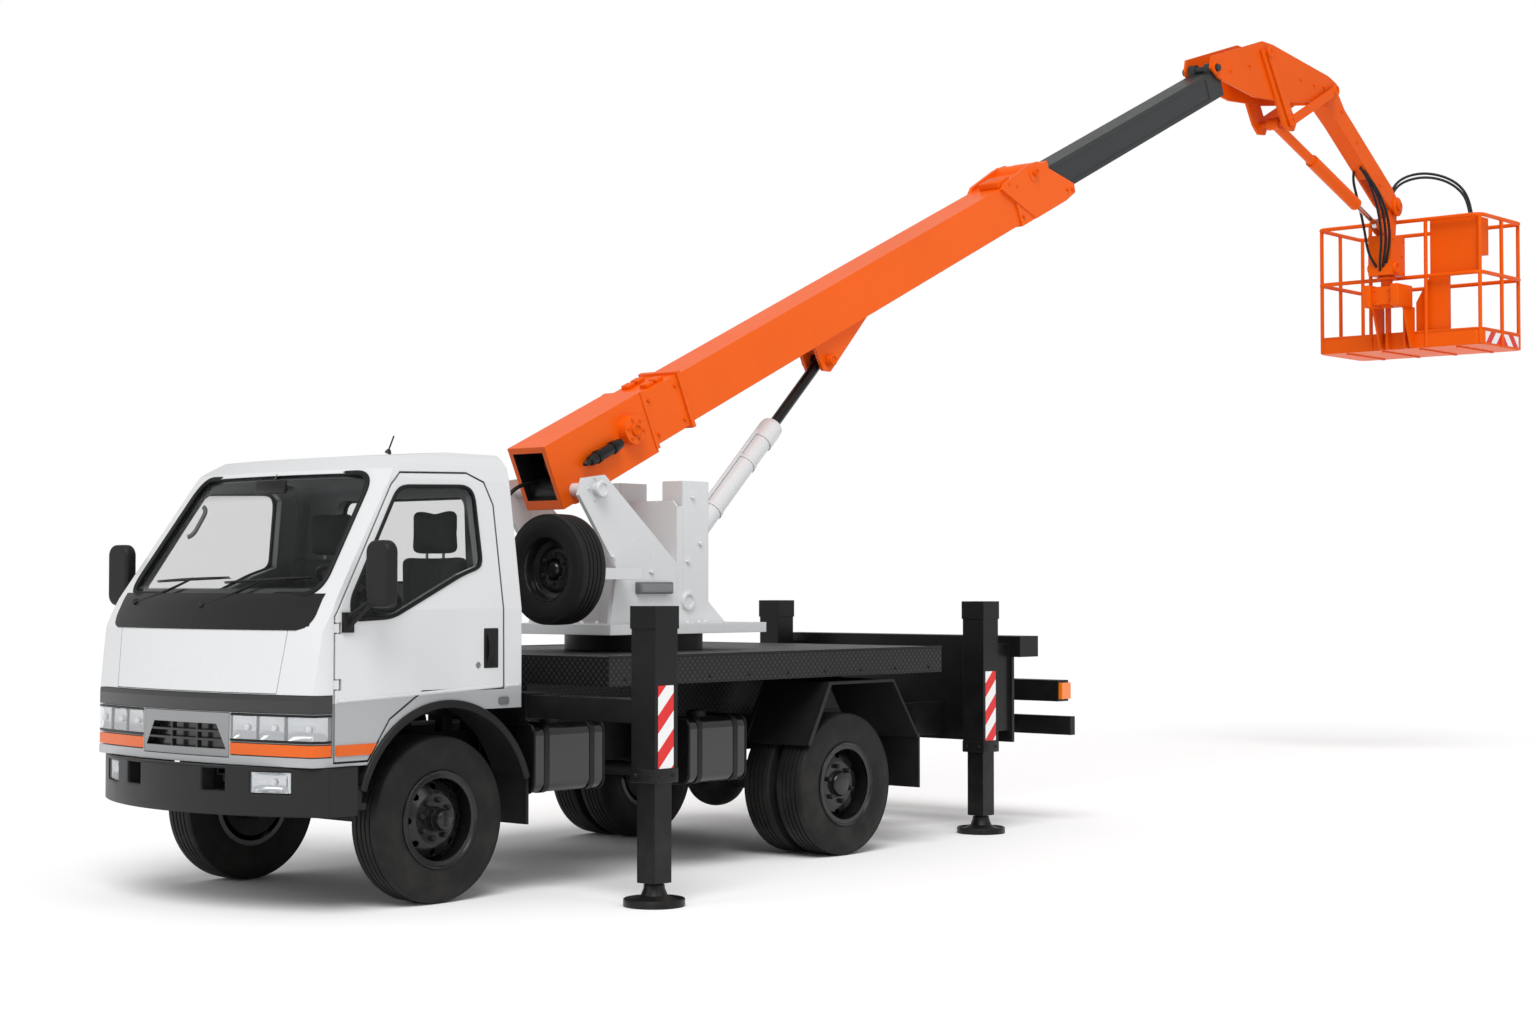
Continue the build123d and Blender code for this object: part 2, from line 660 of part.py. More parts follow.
with BuildPart() as cab_shell:
    add(OUTER_FORM)
    add(cavity.part, mode=Mode.SUBTRACT)
    add(INTAKE_SKIN & front_piece(mirrored(INTAKE)), mode=Mode.SUBTRACT)
    cross_pin(0, ARCH_Z, ARCH_R, -CUT_Y, CUT_Y, mode=Mode.SUBTRACT)
    span_box((CAB_BACK_X - 10, CAB_HEEL_X), (-CUT_Y, CUT_Y), (600, CAB_HEEL_Z), mode=Mode.SUBTRACT)
    add(SCREEN_HOLE, mode=Mode.SUBTRACT)
    add(BACK_HOLE, mode=Mode.SUBTRACT)
    add(door_slab(DOOR_SKIN) & side_prism(DOOR, -CUT_Y, CUT_Y, DOOR_GAP), mode=Mode.SUBTRACT)
    add(
        (
            door_slab(DOOR_THICK + DOOR_GAP) - door_slab(DOOR_SKIN - 1)
        ) & side_prism(DOOR, -CUT_Y, CUT_Y, DOOR_GAP + DOOR_REBATE),
        mode=Mode.SUBTRACT
    )
    for points in (FRONT_PANEL, COWL, STRIP, GRILLE):
        add(RECESS_SKIN & front_piece(mirrored(points), PANEL_GAP), mode=Mode.SUBTRACT)
    for shape in (HEADLAMP, MARKER):
        for points in pair(shape):
            add(RECESS_SKIN & front_piece(points, PANEL_GAP), mode=Mode.SUBTRACT)
    for level in HINGE_LEVELS:
        for y0, y1 in both_sides(HINGE_Y - 8, HINGE_Y + 6):
            span_box((HINGE_X - 7, HINGE_X + 41), (y0, y1), (level - HINGE_ARM, level + HINGE_ARM))
    hinge_pins(HINGE_PIN_R)
write(cab_shell, "cab_shell")


def bumper_ring(outer, inner):
    """A band of the bumper's bow between two depths behind its face."""
    with BuildPart() as band:
        with BuildSketch(Plane.XY.offset(BUMPER_LOW_Z)) as plan:
            with Locations((BUMPER_FRONT_X - BUMPER_BOW_R, 0)):
                Circle(BUMPER_BOW_R - outer)
                Circle(BUMPER_BOW_R - inner, mode=Mode.SUBTRACT)
        extrude(plan.sketch, amount=BUMPER_TOP_Z - BUMPER_LOW_Z)
    return band.part


# Panes, panels and lamps that fill the openings of the cab's front
with BuildPart() as cab_glass:
    add(GLASS_SKIN & front_prism(mirrored(SCREEN), 100, 1100, SCREEN_CORNER_R))
    add(GLASS_SKIN & front_prism(mirrored(BACK_WINDOW), CAB_BACK_X - 60, CAB_BACK_X + 150, 60))
write(cab_glass, "cab_glass")
for name, points in (("front_panel", FRONT_PANEL), ("wiper_cowl", COWL)):
    with BuildPart() as panel:
        add(PANEL_SKIN & front_piece(mirrored(points)))
    write(panel, name)
with BuildPart() as grille:
    add(PANEL_SKIN & front_piece(mirrored(GRILLE)))
    add(front_piece(mirrored(INTAKE)), mode=Mode.SUBTRACT)
    for level in INTAKE_BARS_Z:
        add(
            PANEL_SKIN & front_piece(
                mirrored(((GRILLE[0][0] - 10, level), (GRILLE[0][0] - 10, level + INTAKE_BAR)))
            )
        )
    for y in INTAKE_RIBS_Y:
        rib = (
            (y, GRILLE[0][1] + 10), (y + INTAKE_BAR, GRILLE[0][1] + 10),
            (y + INTAKE_BAR, GRILLE[1][1] - 10), (y, GRILLE[1][1] - 10)
        )
        add(PANEL_SKIN & front_piece(rib))
    add(PANEL_SKIN & front_piece(mirrored(STRIP)))
write(grille, "grille")
with BuildPart() as front_lamps:
    for shape in (HEADLAMP, MARKER):
        for points in pair(shape):
            add(PANEL_SKIN & front_piece(points))
    for points in pair(FOG_LAMP):
        add(bumper_ring(FOG_SET_BACK, FOG_SET_BACK + FOG_DEPTH) & front_piece(points))
write(front_lamps, "front_lamps")

# Doors with their panes and mirrors
DOOR_FORM = door_slab(DOOR_THICK)
DOOR_GLASS = door_slab(GLASS_INSET + GLASS_THICK) - door_slab(GLASS_INSET)
MIRROR_X = 520
MIRROR_Y = 985
MIRROR_LOW_Z = 1370
MIRROR_HEIGHT = 300
MIRROR_CORNER_R = 55
MIRROR_EDGE_R = 20
for side, sign in LEFT_RIGHT:
    y_span = (0, CUT_Y) if sign > 0 else (-CUT_Y, 0)
    with BuildPart() as door:
        add(DOOR_FORM & side_prism(DOOR, *y_span))
        add(side_prism(DOOR_WINDOW, *y_span), mode=Mode.SUBTRACT)
        for level in HINGE_LEVELS:
            notch_y = sorted((sign * (HINGE_Y - 22), sign * CUT_Y))
            span_box((HINGE_X - 19, DOOR[0][0] + 1), notch_y,
                     (level - HINGE_ARM - HINGE_CLEAR, level + HINGE_ARM + HINGE_CLEAR), mode=Mode.SUBTRACT)
        hinge_pins(HINGE_PIN_R + RUN_FIT, mode=Mode.SUBTRACT)
    write(door, f"door_{side}")
    with BuildPart() as door_glass:
        add(DOOR_GLASS & side_prism(DOOR_WINDOW, *y_span))
    write(door_glass, f"door_glass_{side}")
    with BuildPart() as mirror_arm:
        head_y = sorted((sign * (MIRROR_Y - 80), sign * (MIRROR_Y + 80)))
        span_box((MIRROR_X - 30, MIRROR_X + 35), head_y, (MIRROR_LOW_Z, MIRROR_LOW_Z + MIRROR_HEIGHT))
        fillet(mirror_arm.edges().filter_by(Axis.X), radius=MIRROR_CORNER_R)
        fillet(mirror_arm.edges().filter_by(Axis.X, reverse=True), radius=MIRROR_EDGE_R)
        pad_y = sorted((sign * CAB_HALF_WIDTH, sign * (CAB_HALF_WIDTH + 14)))
        span_box((MIRROR_X + 40, MIRROR_X + 100), pad_y, (MIRROR_LOW_Z - 110, MIRROR_LOW_Z - 20))
        for level in (MIRROR_LOW_Z - 92, MIRROR_LOW_Z - 38):
            round_bar(
                (MIRROR_X + 70, sign * (CAB_HALF_WIDTH + 8), level),
                (MIRROR_X, sign * (MIRROR_Y - 20), MIRROR_LOW_Z + 60), 9
            )
    write(mirror_arm, f"mirror_{side}")

# Dashboard with the steering column, and the seats
with BuildPart() as dashboard:
    add(INNER_FORM)
    span_box((470, 1000), (-700, 700), (1130, 1335), mode=Mode.INTERSECT)
    round_bar((500, 380, 1150), (360, 380, 1290), 28)
    wheel_plane = Plane(origin=(360, 380, 1290), z_dir=(-140, 0, 140))
    with BuildSketch(wheel_plane) as rim_circle:
        Circle(205)
        Circle(178, mode=Mode.SUBTRACT)
        Rectangle(370, 30)
        Rectangle(30, 370)
    extrude(rim_circle.sketch, amount=26)
write(dashboard, "dashboard")
SEATS = ((390, 460), (-390, 620))
with BuildPart() as seats:
    for centre, width in SEATS:
        y_span = (centre - width / 2, centre + width / 2)
        span_box((-260, 220), y_span, (980.2, 1130))
        span_box((-375, -250), y_span, (1000, 1620))
write(seats, "seats")

# Bumper: a bowed box section with its ends turned back, lamp recesses, tow pockets and brackets
BUMPER_SKIN_TOP_Z = BUMPER_TOP_Z - 26
with BuildPart() as bumper:
    with BuildSketch(Plane.XY.offset(BUMPER_LOW_Z)) as plan:
        inner_y = BUMPER_HALF_WIDTH - BUMPER_WALL
        inner_x = BUMPER_CORNER_X - 20
        with BuildLine():
            ThreePointArc((BUMPER_CORNER_X, BUMPER_HALF_WIDTH), (BUMPER_FRONT_X, 0),
                          (BUMPER_CORNER_X, -BUMPER_HALF_WIDTH))
            Polyline((BUMPER_CORNER_X, -BUMPER_HALF_WIDTH), (BUMPER_END_X, -BUMPER_HALF_WIDTH),
                     (BUMPER_END_X, -inner_y), (inner_x, -inner_y))
            ThreePointArc((inner_x, -inner_y), (BUMPER_FRONT_X - BUMPER_WALL, 0), (inner_x, inner_y))
            Polyline((inner_x, inner_y), (BUMPER_END_X, inner_y), (BUMPER_END_X, BUMPER_HALF_WIDTH),
                     (BUMPER_CORNER_X, BUMPER_HALF_WIDTH))
        make_face()
    extrude(plan.sketch, amount=BUMPER_SKIN_TOP_Z - BUMPER_LOW_Z)
    for points in pair(FOG_LAMP):
        add(
            bumper_ring(-BUMPER_WALL, FOG_SET_BACK + FOG_DEPTH + 1) & front_piece(points, 2),
            mode=Mode.SUBTRACT
        )
    for points in pair(TOW_POCKET):
        add(front_piece(points), mode=Mode.SUBTRACT)
    for y0, y1 in both_sides(RAIL_OUTER_Y - RAIL_WIDTH, RAIL_OUTER_Y):
        span_box((RAIL_FRONT_X, BUMPER_FRONT_X - BUMPER_WALL - 15), (y0, y1), (RAIL_LOW_Z + 100, CAB_FLOOR_Z))
write(bumper, "bumper")

# Front mudguards: an arch over each wheel inside the cab's arch, a step and a flap
GUARD_THICK = 14
GUARD_INNER_Y = 600
with BuildPart() as front_mudguards:
    for y0, y1 in both_sides(GUARD_INNER_Y, CAB_HALF_WIDTH + 12):
        cross_pin(0, ARCH_Z, ARCH_R - 0.5, y0, y1)
    cross_pin(0, ARCH_Z, ARCH_R - GUARD_THICK, -900, 900, mode=Mode.SUBTRACT)
    span_box((-900, 900), (-900, 900), (-200, 560), mode=Mode.SUBTRACT)
    for y0, y1 in both_sides(GUARD_INNER_Y, CAB_HALF_WIDTH):
        span_box((-520, -505), (y0, y1), (330, 575))
        span_box((502, 538), (y0, y1), (485, 575))
        span_box((475, 538), (y0, y1), (470, 500))
write(front_mudguards, "front_mudguards")

# Tanks and boxes along the frame
REAR_TANK_AHEAD = 710
REAR_TANK_LENGTH = 445
REAR_TANK_X = REAR_AXLE_X + REAR_TANK_AHEAD
TANKS = ((-1010, -535, 475, 805), (REAR_TANK_X, REAR_TANK_X + REAR_TANK_LENGTH, 452, 788))
TANK_IN_Y = 470
TANK_OUT_Y = 850
TANK_CORNER_R = 55


def rounded_tank(x, y, z):
    """A box with its four long edges rounded."""
    with BuildPart() as tank:
        span_box(x, y, z)
        fillet(tank.edges().filter_by(Axis.X), radius=TANK_CORNER_R)
    return tank.part


with BuildPart() as side_tanks:
    for x0, x1, z0, z1 in TANKS:
        for y0, y1 in both_sides(TANK_IN_Y, TANK_OUT_Y):
            add(rounded_tank((x0, x1), (y0, y1), (z0, z1)))
        for y0, y1 in both_sides(RAIL_OUTER_Y, TANK_IN_Y + 40):
            for x in (x0 + 90, x1 - 90):
                span_box((x - 25, x + 25), (y0, y1), (RAIL_LOW_Z + 20, RAIL_TOP_Z - 20))
write(side_tanks, "side_tanks")

# Deck: a plate with skirts on bearers along the rails
with BuildPart() as deck:
    span_box(
        (DECK_REAR_X, DECK_FRONT_X), (-DECK_HALF_WIDTH, DECK_HALF_WIDTH),
        (DECK_TOP_Z - DECK_SKIRT, DECK_TOP_Z)
    )
    span_box((DECK_REAR_X + DECK_PLATE, DECK_FRONT_X - DECK_PLATE),
             (-DECK_HALF_WIDTH + DECK_PLATE, DECK_HALF_WIDTH - DECK_PLATE),
             (DECK_TOP_Z - DECK_SKIRT - 1, DECK_TOP_Z - DECK_PLATE), mode=Mode.SUBTRACT)
    for y0, y1 in both_sides(RAIL_OUTER_Y - BEARER_WIDTH, RAIL_OUTER_Y):
        span_box((DECK_REAR_X, DECK_FRONT_X), (y0, y1), (RAIL_TOP_Z, DECK_TOP_Z - DECK_PLATE))
    for x in (-1100, -1700, -2500, -3300):
        span_box(
            (x - 30, x + 30), (-DECK_HALF_WIDTH + 6, DECK_HALF_WIDTH - 6),
            (DECK_TOP_Z - 90, DECK_TOP_Z - DECK_PLATE)
        )
write(deck, "deck")

# Rear mudguards, angular, with a flap: X from the rear axle, Z, and how far in the inner corner lies in X
# and Z
REAR_GUARD_THICK = 14
REAR_GUARD_Y = (505, 985)
REAR_GUARD = (
    (350, 612, -16, 0), (168, 948, -8, -REAR_GUARD_THICK), (-385, 948, 8, -REAR_GUARD_THICK),
    (-620, 615, 17, 0)
)
REAR_FLAP = ((-623, -610), (332, 640))
REAR_STAY_BACK = (120, -330)
REAR_STAY_LOW_Z = 940
with BuildPart() as rear_mudguards:
    for y0, y1 in both_sides(*REAR_GUARD_Y):
        outer = [(REAR_AXLE_X + x, z) for x, z, _, _ in REAR_GUARD]
        inner = [(REAR_AXLE_X + x + in_x, z + in_z) for x, z, in_x, in_z in REAR_GUARD]
        extrude(outline(side_plane(y0), (*outer, *reversed(inner))), amount=-(y1 - y0))
        span_box((REAR_AXLE_X + REAR_FLAP[0][0], REAR_AXLE_X + REAR_FLAP[0][1]), (y0, y1), REAR_FLAP[1])
        for back in REAR_STAY_BACK:
            x = REAR_AXLE_X + back
            span_box(
                (x - 20, x + 20), sorted((y0 + 100, y0 + 140)), (REAR_STAY_LOW_Z, DECK_TOP_Z - DECK_PLATE)
            )
write(rear_mudguards, "rear_mudguards")


# Stabilisers
def leg_housing(x, y, low_z):
    """A square tube with a capped top that holds a leg."""
    half = LEG_HOUSING / 2
    cap = half + LEG_CAP_LIP
    hole = LEG_TUBE / 2 + LEG_PLAY
    span_box((x - half, x + half), (y - half, y + half), (low_z, LEG_TOP_Z - 2))
    span_box((x - cap, x + cap), (y - cap, y + cap), (LEG_TOP_Z - LEG_CAP, LEG_TOP_Z))
    span_box((x - hole, x + hole), (y - hole, y + hole), (low_z - 1, LEG_TOP_Z - 12), mode=Mode.SUBTRACT)


def leg(x, y):
    """A square tube with a stem and a round foot."""
    half = LEG_TUBE / 2
    span_box((x - half, x + half), (y - half, y + half), (105, LEG_TOP_Z - 20 - LEG_RETRACT))
    extrude(disc(Plane.XY.offset(20), (x, y), FOOT_STEM_R), amount=100)
    extrude(disc(Plane.XY, (x, y), FOOT_DIA / 2), amount=26)


with BuildPart() as outrigger_sleeve:
    top = SLEEVE_LOW_Z + SLEEVE_HEIGHT
    span_box((FRONT_LEG_X - SLEEVE_WIDTH / 2, FRONT_LEG_X + SLEEVE_WIDTH / 2),
             (-SLEEVE_HALF_LENGTH, SLEEVE_HALF_LENGTH), (SLEEVE_LOW_Z, top))
    span_box((FRONT_LEG_X - SLEEVE_WIDTH / 2 + 9, FRONT_LEG_X + SLEEVE_WIDTH / 2 - 9),
             (-SLEEVE_HALF_LENGTH - 1, SLEEVE_HALF_LENGTH + 1), (SLEEVE_LOW_Z + 9, top - 9),
             mode=Mode.SUBTRACT)
    for y0, y1 in both_sides(RAIL_OUTER_Y - RAIL_WIDTH, RAIL_OUTER_Y):
        span_box((FRONT_LEG_X - 60, FRONT_LEG_X + 60), (y0, y1), (RAIL_TOP_Z, SLEEVE_LOW_Z))
write(outrigger_sleeve, "outrigger_sleeve")
for side, sign in LEFT_RIGHT:
    with BuildPart() as outrigger_beam:
        play = 9 + LEG_PLAY
        y_span = sorted((sign * BEAM_INNER_Y, sign * (FRONT_LEG_Y - LEG_HOUSING / 2 + 5)))
        span_box((FRONT_LEG_X - SLEEVE_WIDTH / 2 + play, FRONT_LEG_X + SLEEVE_WIDTH / 2 - play), y_span,
                 (SLEEVE_LOW_Z + play, SLEEVE_LOW_Z + SLEEVE_HEIGHT - play))
        leg_housing(FRONT_LEG_X, sign * FRONT_LEG_Y, FRONT_HOUSING_LOW_Z)
    write(outrigger_beam, f"outrigger_beam_{side}")
    with BuildPart() as front_jack:
        leg(FRONT_LEG_X, sign * FRONT_LEG_Y)
    write(front_jack, f"front_jack_{side}")
    with BuildPart() as rear_jack:
        leg(REAR_LEG_X, sign * REAR_LEG_Y)
    write(rear_jack, f"rear_jack_{side}")
with BuildPart() as rear_outrigger_frame:
    span_box((RAIL_REAR_X - 24, RAIL_REAR_X), (-880, 880), (530, 1050))
    span_box((RAIL_REAR_X - 190, RAIL_REAR_X), (-940, 940), (1040, 1165))
    for sign in (-1, 1):
        y_span = (sign * REAR_LEG_Y - LEG_HOUSING / 2 + 15, sign * REAR_LEG_Y + LEG_HOUSING / 2 - 15)
        span_box((RAIL_REAR_X - 5, REAR_LEG_X - LEG_HOUSING / 2 + 5), y_span, (600, 1120))
        leg_housing(REAR_LEG_X, sign * REAR_LEG_Y, REAR_HOUSING_LOW_Z)
write(rear_outrigger_frame, "rear_outrigger_frame")

# Tail: a lamp bar and an underrun bar on two arms, and the lamps
TAIL_PLATE_X = RAIL_REAR_X - 24
with BuildPart() as tail_bar:
    span_box((-5060, -4945), (-880, 880), (755, 885))
    span_box((-5095, -5045), (-905, 905), (545, 660))
    for y0, y1 in both_sides(380, 440):
        span_box((-5000, TAIL_PLATE_X), (y0, y1), (780, 860))
        span_box((-5050, -4980), (y0, y1), (560, 870))
write(tail_bar, "tail_bar")
with BuildPart() as tail_lamps:
    for y0, y1 in both_sides(520, 860):
        span_box((-5090, -5060), (y0, y1), (770, 870))
    for y0, y1 in both_sides(880, 905):
        span_box((-5050, -4955), (y0, y1), (770, 870))
write(tail_lamps, "tail_lamps")

# Slew ring on the deck, and the turret on it
RING_TOP_Z = DECK_TOP_Z + RING_HEIGHT
BASE_TOP_Z = RING_TOP_Z + BASE_PLATE
with BuildPart() as slew_ring:
    extrude(disc(Plane.XY.offset(DECK_TOP_Z), (SLEW_X, 0), RING_R), amount=RING_HEIGHT - 0.3)
write(slew_ring, "slew_ring")
CHEEK = ((-1370, 1940), (-1400, 2030), (-1560, 2052), (-2510, BASE_TOP_Z), (-1600, BASE_TOP_Z), (-1650, 1560))
with BuildPart() as turret:
    span_box((-2720, -1480), (-430, 430), (RING_TOP_Z, BASE_TOP_Z))
    for y0, y1 in both_sides(CHEEK_Y, CHEEK_Y + CHEEK_THICK):
        extrude(outline(side_plane(y0), CHEEK), amount=-(y1 - y0))
    for y0, y1 in both_sides(BOX_INNER_Y, CHEEK_Y + CHEEK_THICK):
        span_box((BOX_REAR_X, BOX_FRONT_X), (y0, y1), (BASE_TOP_Z, BOX_TOP_Z))
    cross_pin(PIVOT_X, PIVOT_Z, PIVOT_R, -CHEEK_Y - 60, CHEEK_Y + 60)
    cross_pin(LIFT_BASE_X, LIFT_BASE_Z, LIFT_PIN_R, -BOX_INNER_Y - 5, BOX_INNER_Y + 5)
    span_box((-1560, -1100), (440, 490), (1500, 1560))
    span_box((-1660, -1500), (CHEEK_Y + 5, 490), (1500, 1560))
write(turret, "turret")

# Spare wheel, on the turret's bracket and facing forward
SPARE_DIA = 560
SPARE_WIDTH = 176
SPARE_X = -1020
SPARE_Y = 500
SPARE_Z = 1550
with BuildPart() as spare_wheel:
    plane = Plane(origin=(SPARE_X, SPARE_Y, SPARE_Z), x_dir=(1, 0, 0), z_dir=(0, -1, 0))
    half = SPARE_WIDTH / 2
    section = (
        (-half * 0.85, 60), (-half * 0.85, 170), (-half, 210), (-half * 0.85, 268),
        (-half * 0.7, SPARE_DIA / 2), (half * 0.7, SPARE_DIA / 2), (half * 0.85, 268), (half, 210),
        (half * 0.85, 170), (half * 0.3, 150), (half * 0.3, 60)
    )
    revolve(outline(plane, section), axis=Axis((SPARE_X, SPARE_Y, SPARE_Z), (1, 0, 0)))
    extrude(disc(Plane.YZ.offset(-1100), (SPARE_Y, SPARE_Z), 61), amount=120)
write(spare_wheel, "spare_wheel")

# Outer boom: a hollow box with a deeper base, a collar, the lift lug and a front collar
BOOM_PLANE = link_plane((PIVOT_X, PIVOT_Z), boom_point(1000, 0))
BOOM_LOW_V = BOOM_V - OUTER_HEIGHT / 2
BOOM_TOP_V = BOOM_V + OUTER_HEIGHT / 2
END_PIN = (4830, BOOM_TOP_V - 10)
END_PLATE = (
    (4430, BOOM_TOP_V - 4), (4480, BOOM_TOP_V + 26), (4770, BOOM_TOP_V + 52), (4900, BOOM_TOP_V + 44),
    (5260, BOOM_LOW_V + 62), (5250, BOOM_LOW_V + 4), (5120, BOOM_LOW_V - 14), (4730, BOOM_LOW_V - 14)
)
LUG = (
    (2270, BOOM_LOW_V + 5), (2290, LUG_V - 40), (2350, LUG_V - 70), (2430, LUG_V - 40),
    (2880, BOOM_LOW_V + 5)
)
with BuildPart(BOOM_PLANE) as outer_boom:
    half = OUTER_WIDTH / 2
    span_box((BASE_END_U - 200, OUTER_END_U), (BOOM_LOW_V, BOOM_TOP_V), (-half, half))
    span_box(
        (BASE_START_U, BASE_END_U), (BOOM_LOW_V - 45, BOOM_TOP_V + 25), (-BASE_HALF_WIDTH, BASE_HALF_WIDTH)
    )
    span_box((BASE_END_U, COLLAR_END_U), (BOOM_LOW_V - 8, BOOM_TOP_V + 8), (-half - 12, half + 12))
    for u in (BASE_END_U, COLLAR_END_U):
        span_box(
            (u - 14, u + 14), (BOOM_LOW_V - 25, BOOM_TOP_V + 25), (-COLLAR_HALF_WIDTH, COLLAR_HALF_WIDTH)
        )
    span_box((4560, OUTER_END_U + 20), (BOOM_LOW_V - 14, BOOM_TOP_V + 14), (-half - 14, half + 14))
    for w0, w1 in both_sides(half - 2, half + 22):
        extrude(outline(BOOM_PLANE.offset(w0), END_PLATE), amount=w1 - w0)
    extrude(disc(BOOM_PLANE.offset(-half - 34), END_PIN, 30), amount=OUTER_WIDTH + 68)
    extrude(disc(BOOM_PLANE.offset(-half - 28), END_PIN, 62), amount=OUTER_WIDTH + 56)
    wall = OUTER_WALL
    span_box(
        (BASE_START_U - 1, OUTER_END_U - 120), (BOOM_LOW_V + wall, BOOM_TOP_V - wall),
        (-half + wall, half - wall), mode=Mode.SUBTRACT
    )
    span_box((OUTER_END_U - 121, OUTER_END_U + 21),
             (BOOM_V - INNER_HEIGHT / 2 - 0.5, BOOM_V + INNER_HEIGHT / 2 + 0.5),
             (-INNER_WIDTH / 2 - 0.5, INNER_WIDTH / 2 + 0.5), mode=Mode.SUBTRACT)
    for w0, w1 in both_sides(LUG_GAP / 2, LUG_GAP / 2 + LUG_THICK):
        extrude(outline(BOOM_PLANE.offset(w0), LUG), amount=w1 - w0)
        outer_face = LUG_GAP / 2 + LUG_THICK
        stub = (outer_face - 2, outer_face + 30) if w0 > 0 else (-outer_face - 30, 2 - outer_face)
        extrude(disc(BOOM_PLANE.offset(stub[0]), (LUG_U, LUG_V), 38), amount=stub[1] - stub[0])
    span_box(
        (LUG_U - 170, LUG_U + 170), (BOOM_LOW_V - 1, BOOM_LOW_V + wall + 1),
        (-LUG_GAP / 2 + 4, LUG_GAP / 2 - 4), mode=Mode.SUBTRACT
    )
    extrude(disc(BOOM_PLANE.offset(BASE_HALF_WIDTH - 2), (514, 135), 80), amount=60)
    cross_pin(PIVOT_X, PIVOT_Z, PIVOT_R + 40, -BASE_HALF_WIDTH, BASE_HALF_WIDTH)
    cross_pin(
        PIVOT_X, PIVOT_Z, PIVOT_R + RUN_FIT, -BASE_HALF_WIDTH - 5, BASE_HALF_WIDTH + 5, mode=Mode.SUBTRACT
    )
write(outer_boom, "outer_boom")

# Inner boom: a closed box with the head pin's boss at its tip
HEAD_PIN = boom_point(HEAD_PIN_U, HEAD_PIN_V)
with BuildPart(BOOM_PLANE) as inner_boom:
    low = BOOM_V - INNER_HEIGHT / 2
    top = BOOM_V + INNER_HEIGHT / 2
    half = INNER_WIDTH / 2
    span_box((INNER_START_U, INNER_END_U), (low, top), (-half, half))
    span_box((INNER_START_U + INNER_WALL, INNER_END_U - INNER_WALL), (low + INNER_WALL, top - INNER_WALL),
             (-half + INNER_WALL, half - INNER_WALL), mode=Mode.SUBTRACT)
    for w0, w1 in both_sides(half - GROOVE_DEPTH, half + 1):
        span_box((INNER_START_U - 1, HEAD_PIN_U - 130), (low + GROOVE_EDGE, top - GROOVE_EDGE), (w0, w1),
                 mode=Mode.SUBTRACT)
    for w0, w1 in both_sides(40, half):
        span_box((HEAD_PIN_U - 45, HEAD_PIN_U + 45), (top - 5, HEAD_PIN_V), (w0, w1))
        extrude(disc(BOOM_PLANE.offset(w0), (HEAD_PIN_U, HEAD_PIN_V), 45), amount=w1 - w0)
    cross_pin(HEAD_PIN[0], HEAD_PIN[1], JIB_PIN_R, -half - 60, half + 60)
write(inner_boom, "inner_boom")

# Lift cylinder: its barrel turns on the turret and its rod ends between the boom's lugs
LUG_PIN = boom_point(LUG_U, LUG_V)
LIFT_PLANE = link_plane((LIFT_BASE_X, LIFT_BASE_Z), LUG_PIN)
LIFT_LENGTH = hypot(LUG_PIN[0] - LIFT_BASE_X, LUG_PIN[1] - LIFT_BASE_Z)


def along_disc(plane, u, radius):
    """A round face square to a link plane's first axis."""
    origin = plane.from_local_coords((u, 0, 0))
    return disc(Plane(origin=origin, x_dir=plane.y_dir, z_dir=plane.x_dir), (0, 0), radius)


with BuildPart() as lift_barrel:
    cross_pin(LIFT_BASE_X, LIFT_BASE_Z, 58, -55, 55)
    extrude(along_disc(LIFT_PLANE, 30, LIFT_BARREL_R), amount=LIFT_BARREL_LENGTH - 30)
    extrude(along_disc(LIFT_PLANE, 90, LIFT_ROD_R + 0.4), amount=LIFT_BARREL_LENGTH, mode=Mode.SUBTRACT)
    cross_pin(LIFT_BASE_X, LIFT_BASE_Z, LIFT_PIN_R + RUN_FIT, -60, 60, mode=Mode.SUBTRACT)
write(lift_barrel, "lift_barrel")
LIFT_ROD_START = 750
with BuildPart() as lift_rod:
    extrude(along_disc(LIFT_PLANE, LIFT_ROD_START, LIFT_ROD_R), amount=LIFT_LENGTH - LIFT_ROD_START - 30)
    cross_pin(*LUG_PIN, LIFT_EYE_R, -36, 36)
    cross_pin(*LUG_PIN, LIFT_EYE_R - 18, -40, 40, mode=Mode.SUBTRACT)
write(lift_rod, "lift_rod")

# Jib head: two plates on the boom tip's pin with a swing frame below that holds the levelling cylinder
HEAD_AT_BOOM = ((-8250, 5250), (-8130, 5310), (-8150, 5400))
HEAD_TOP = ((390, 565), (230, 565))
HEAD_AT_KNUCKLE = ((60, 110), (-80, 70), (-90, -40), (20, -90))
HEAD_FOOT = ((-10, 155), (510, 115))
SWING_CORNERS = ((440, 485), (230, 525), (-40, 85), (-110, 5), (-70, -65), (30, -75), (110, -15))


def set_out(pin_x, pin_z, corners):
    """Corners of a plate given by their distances from one of its pins."""
    return [(pin_x + x, pin_z + z) for x, z in corners]


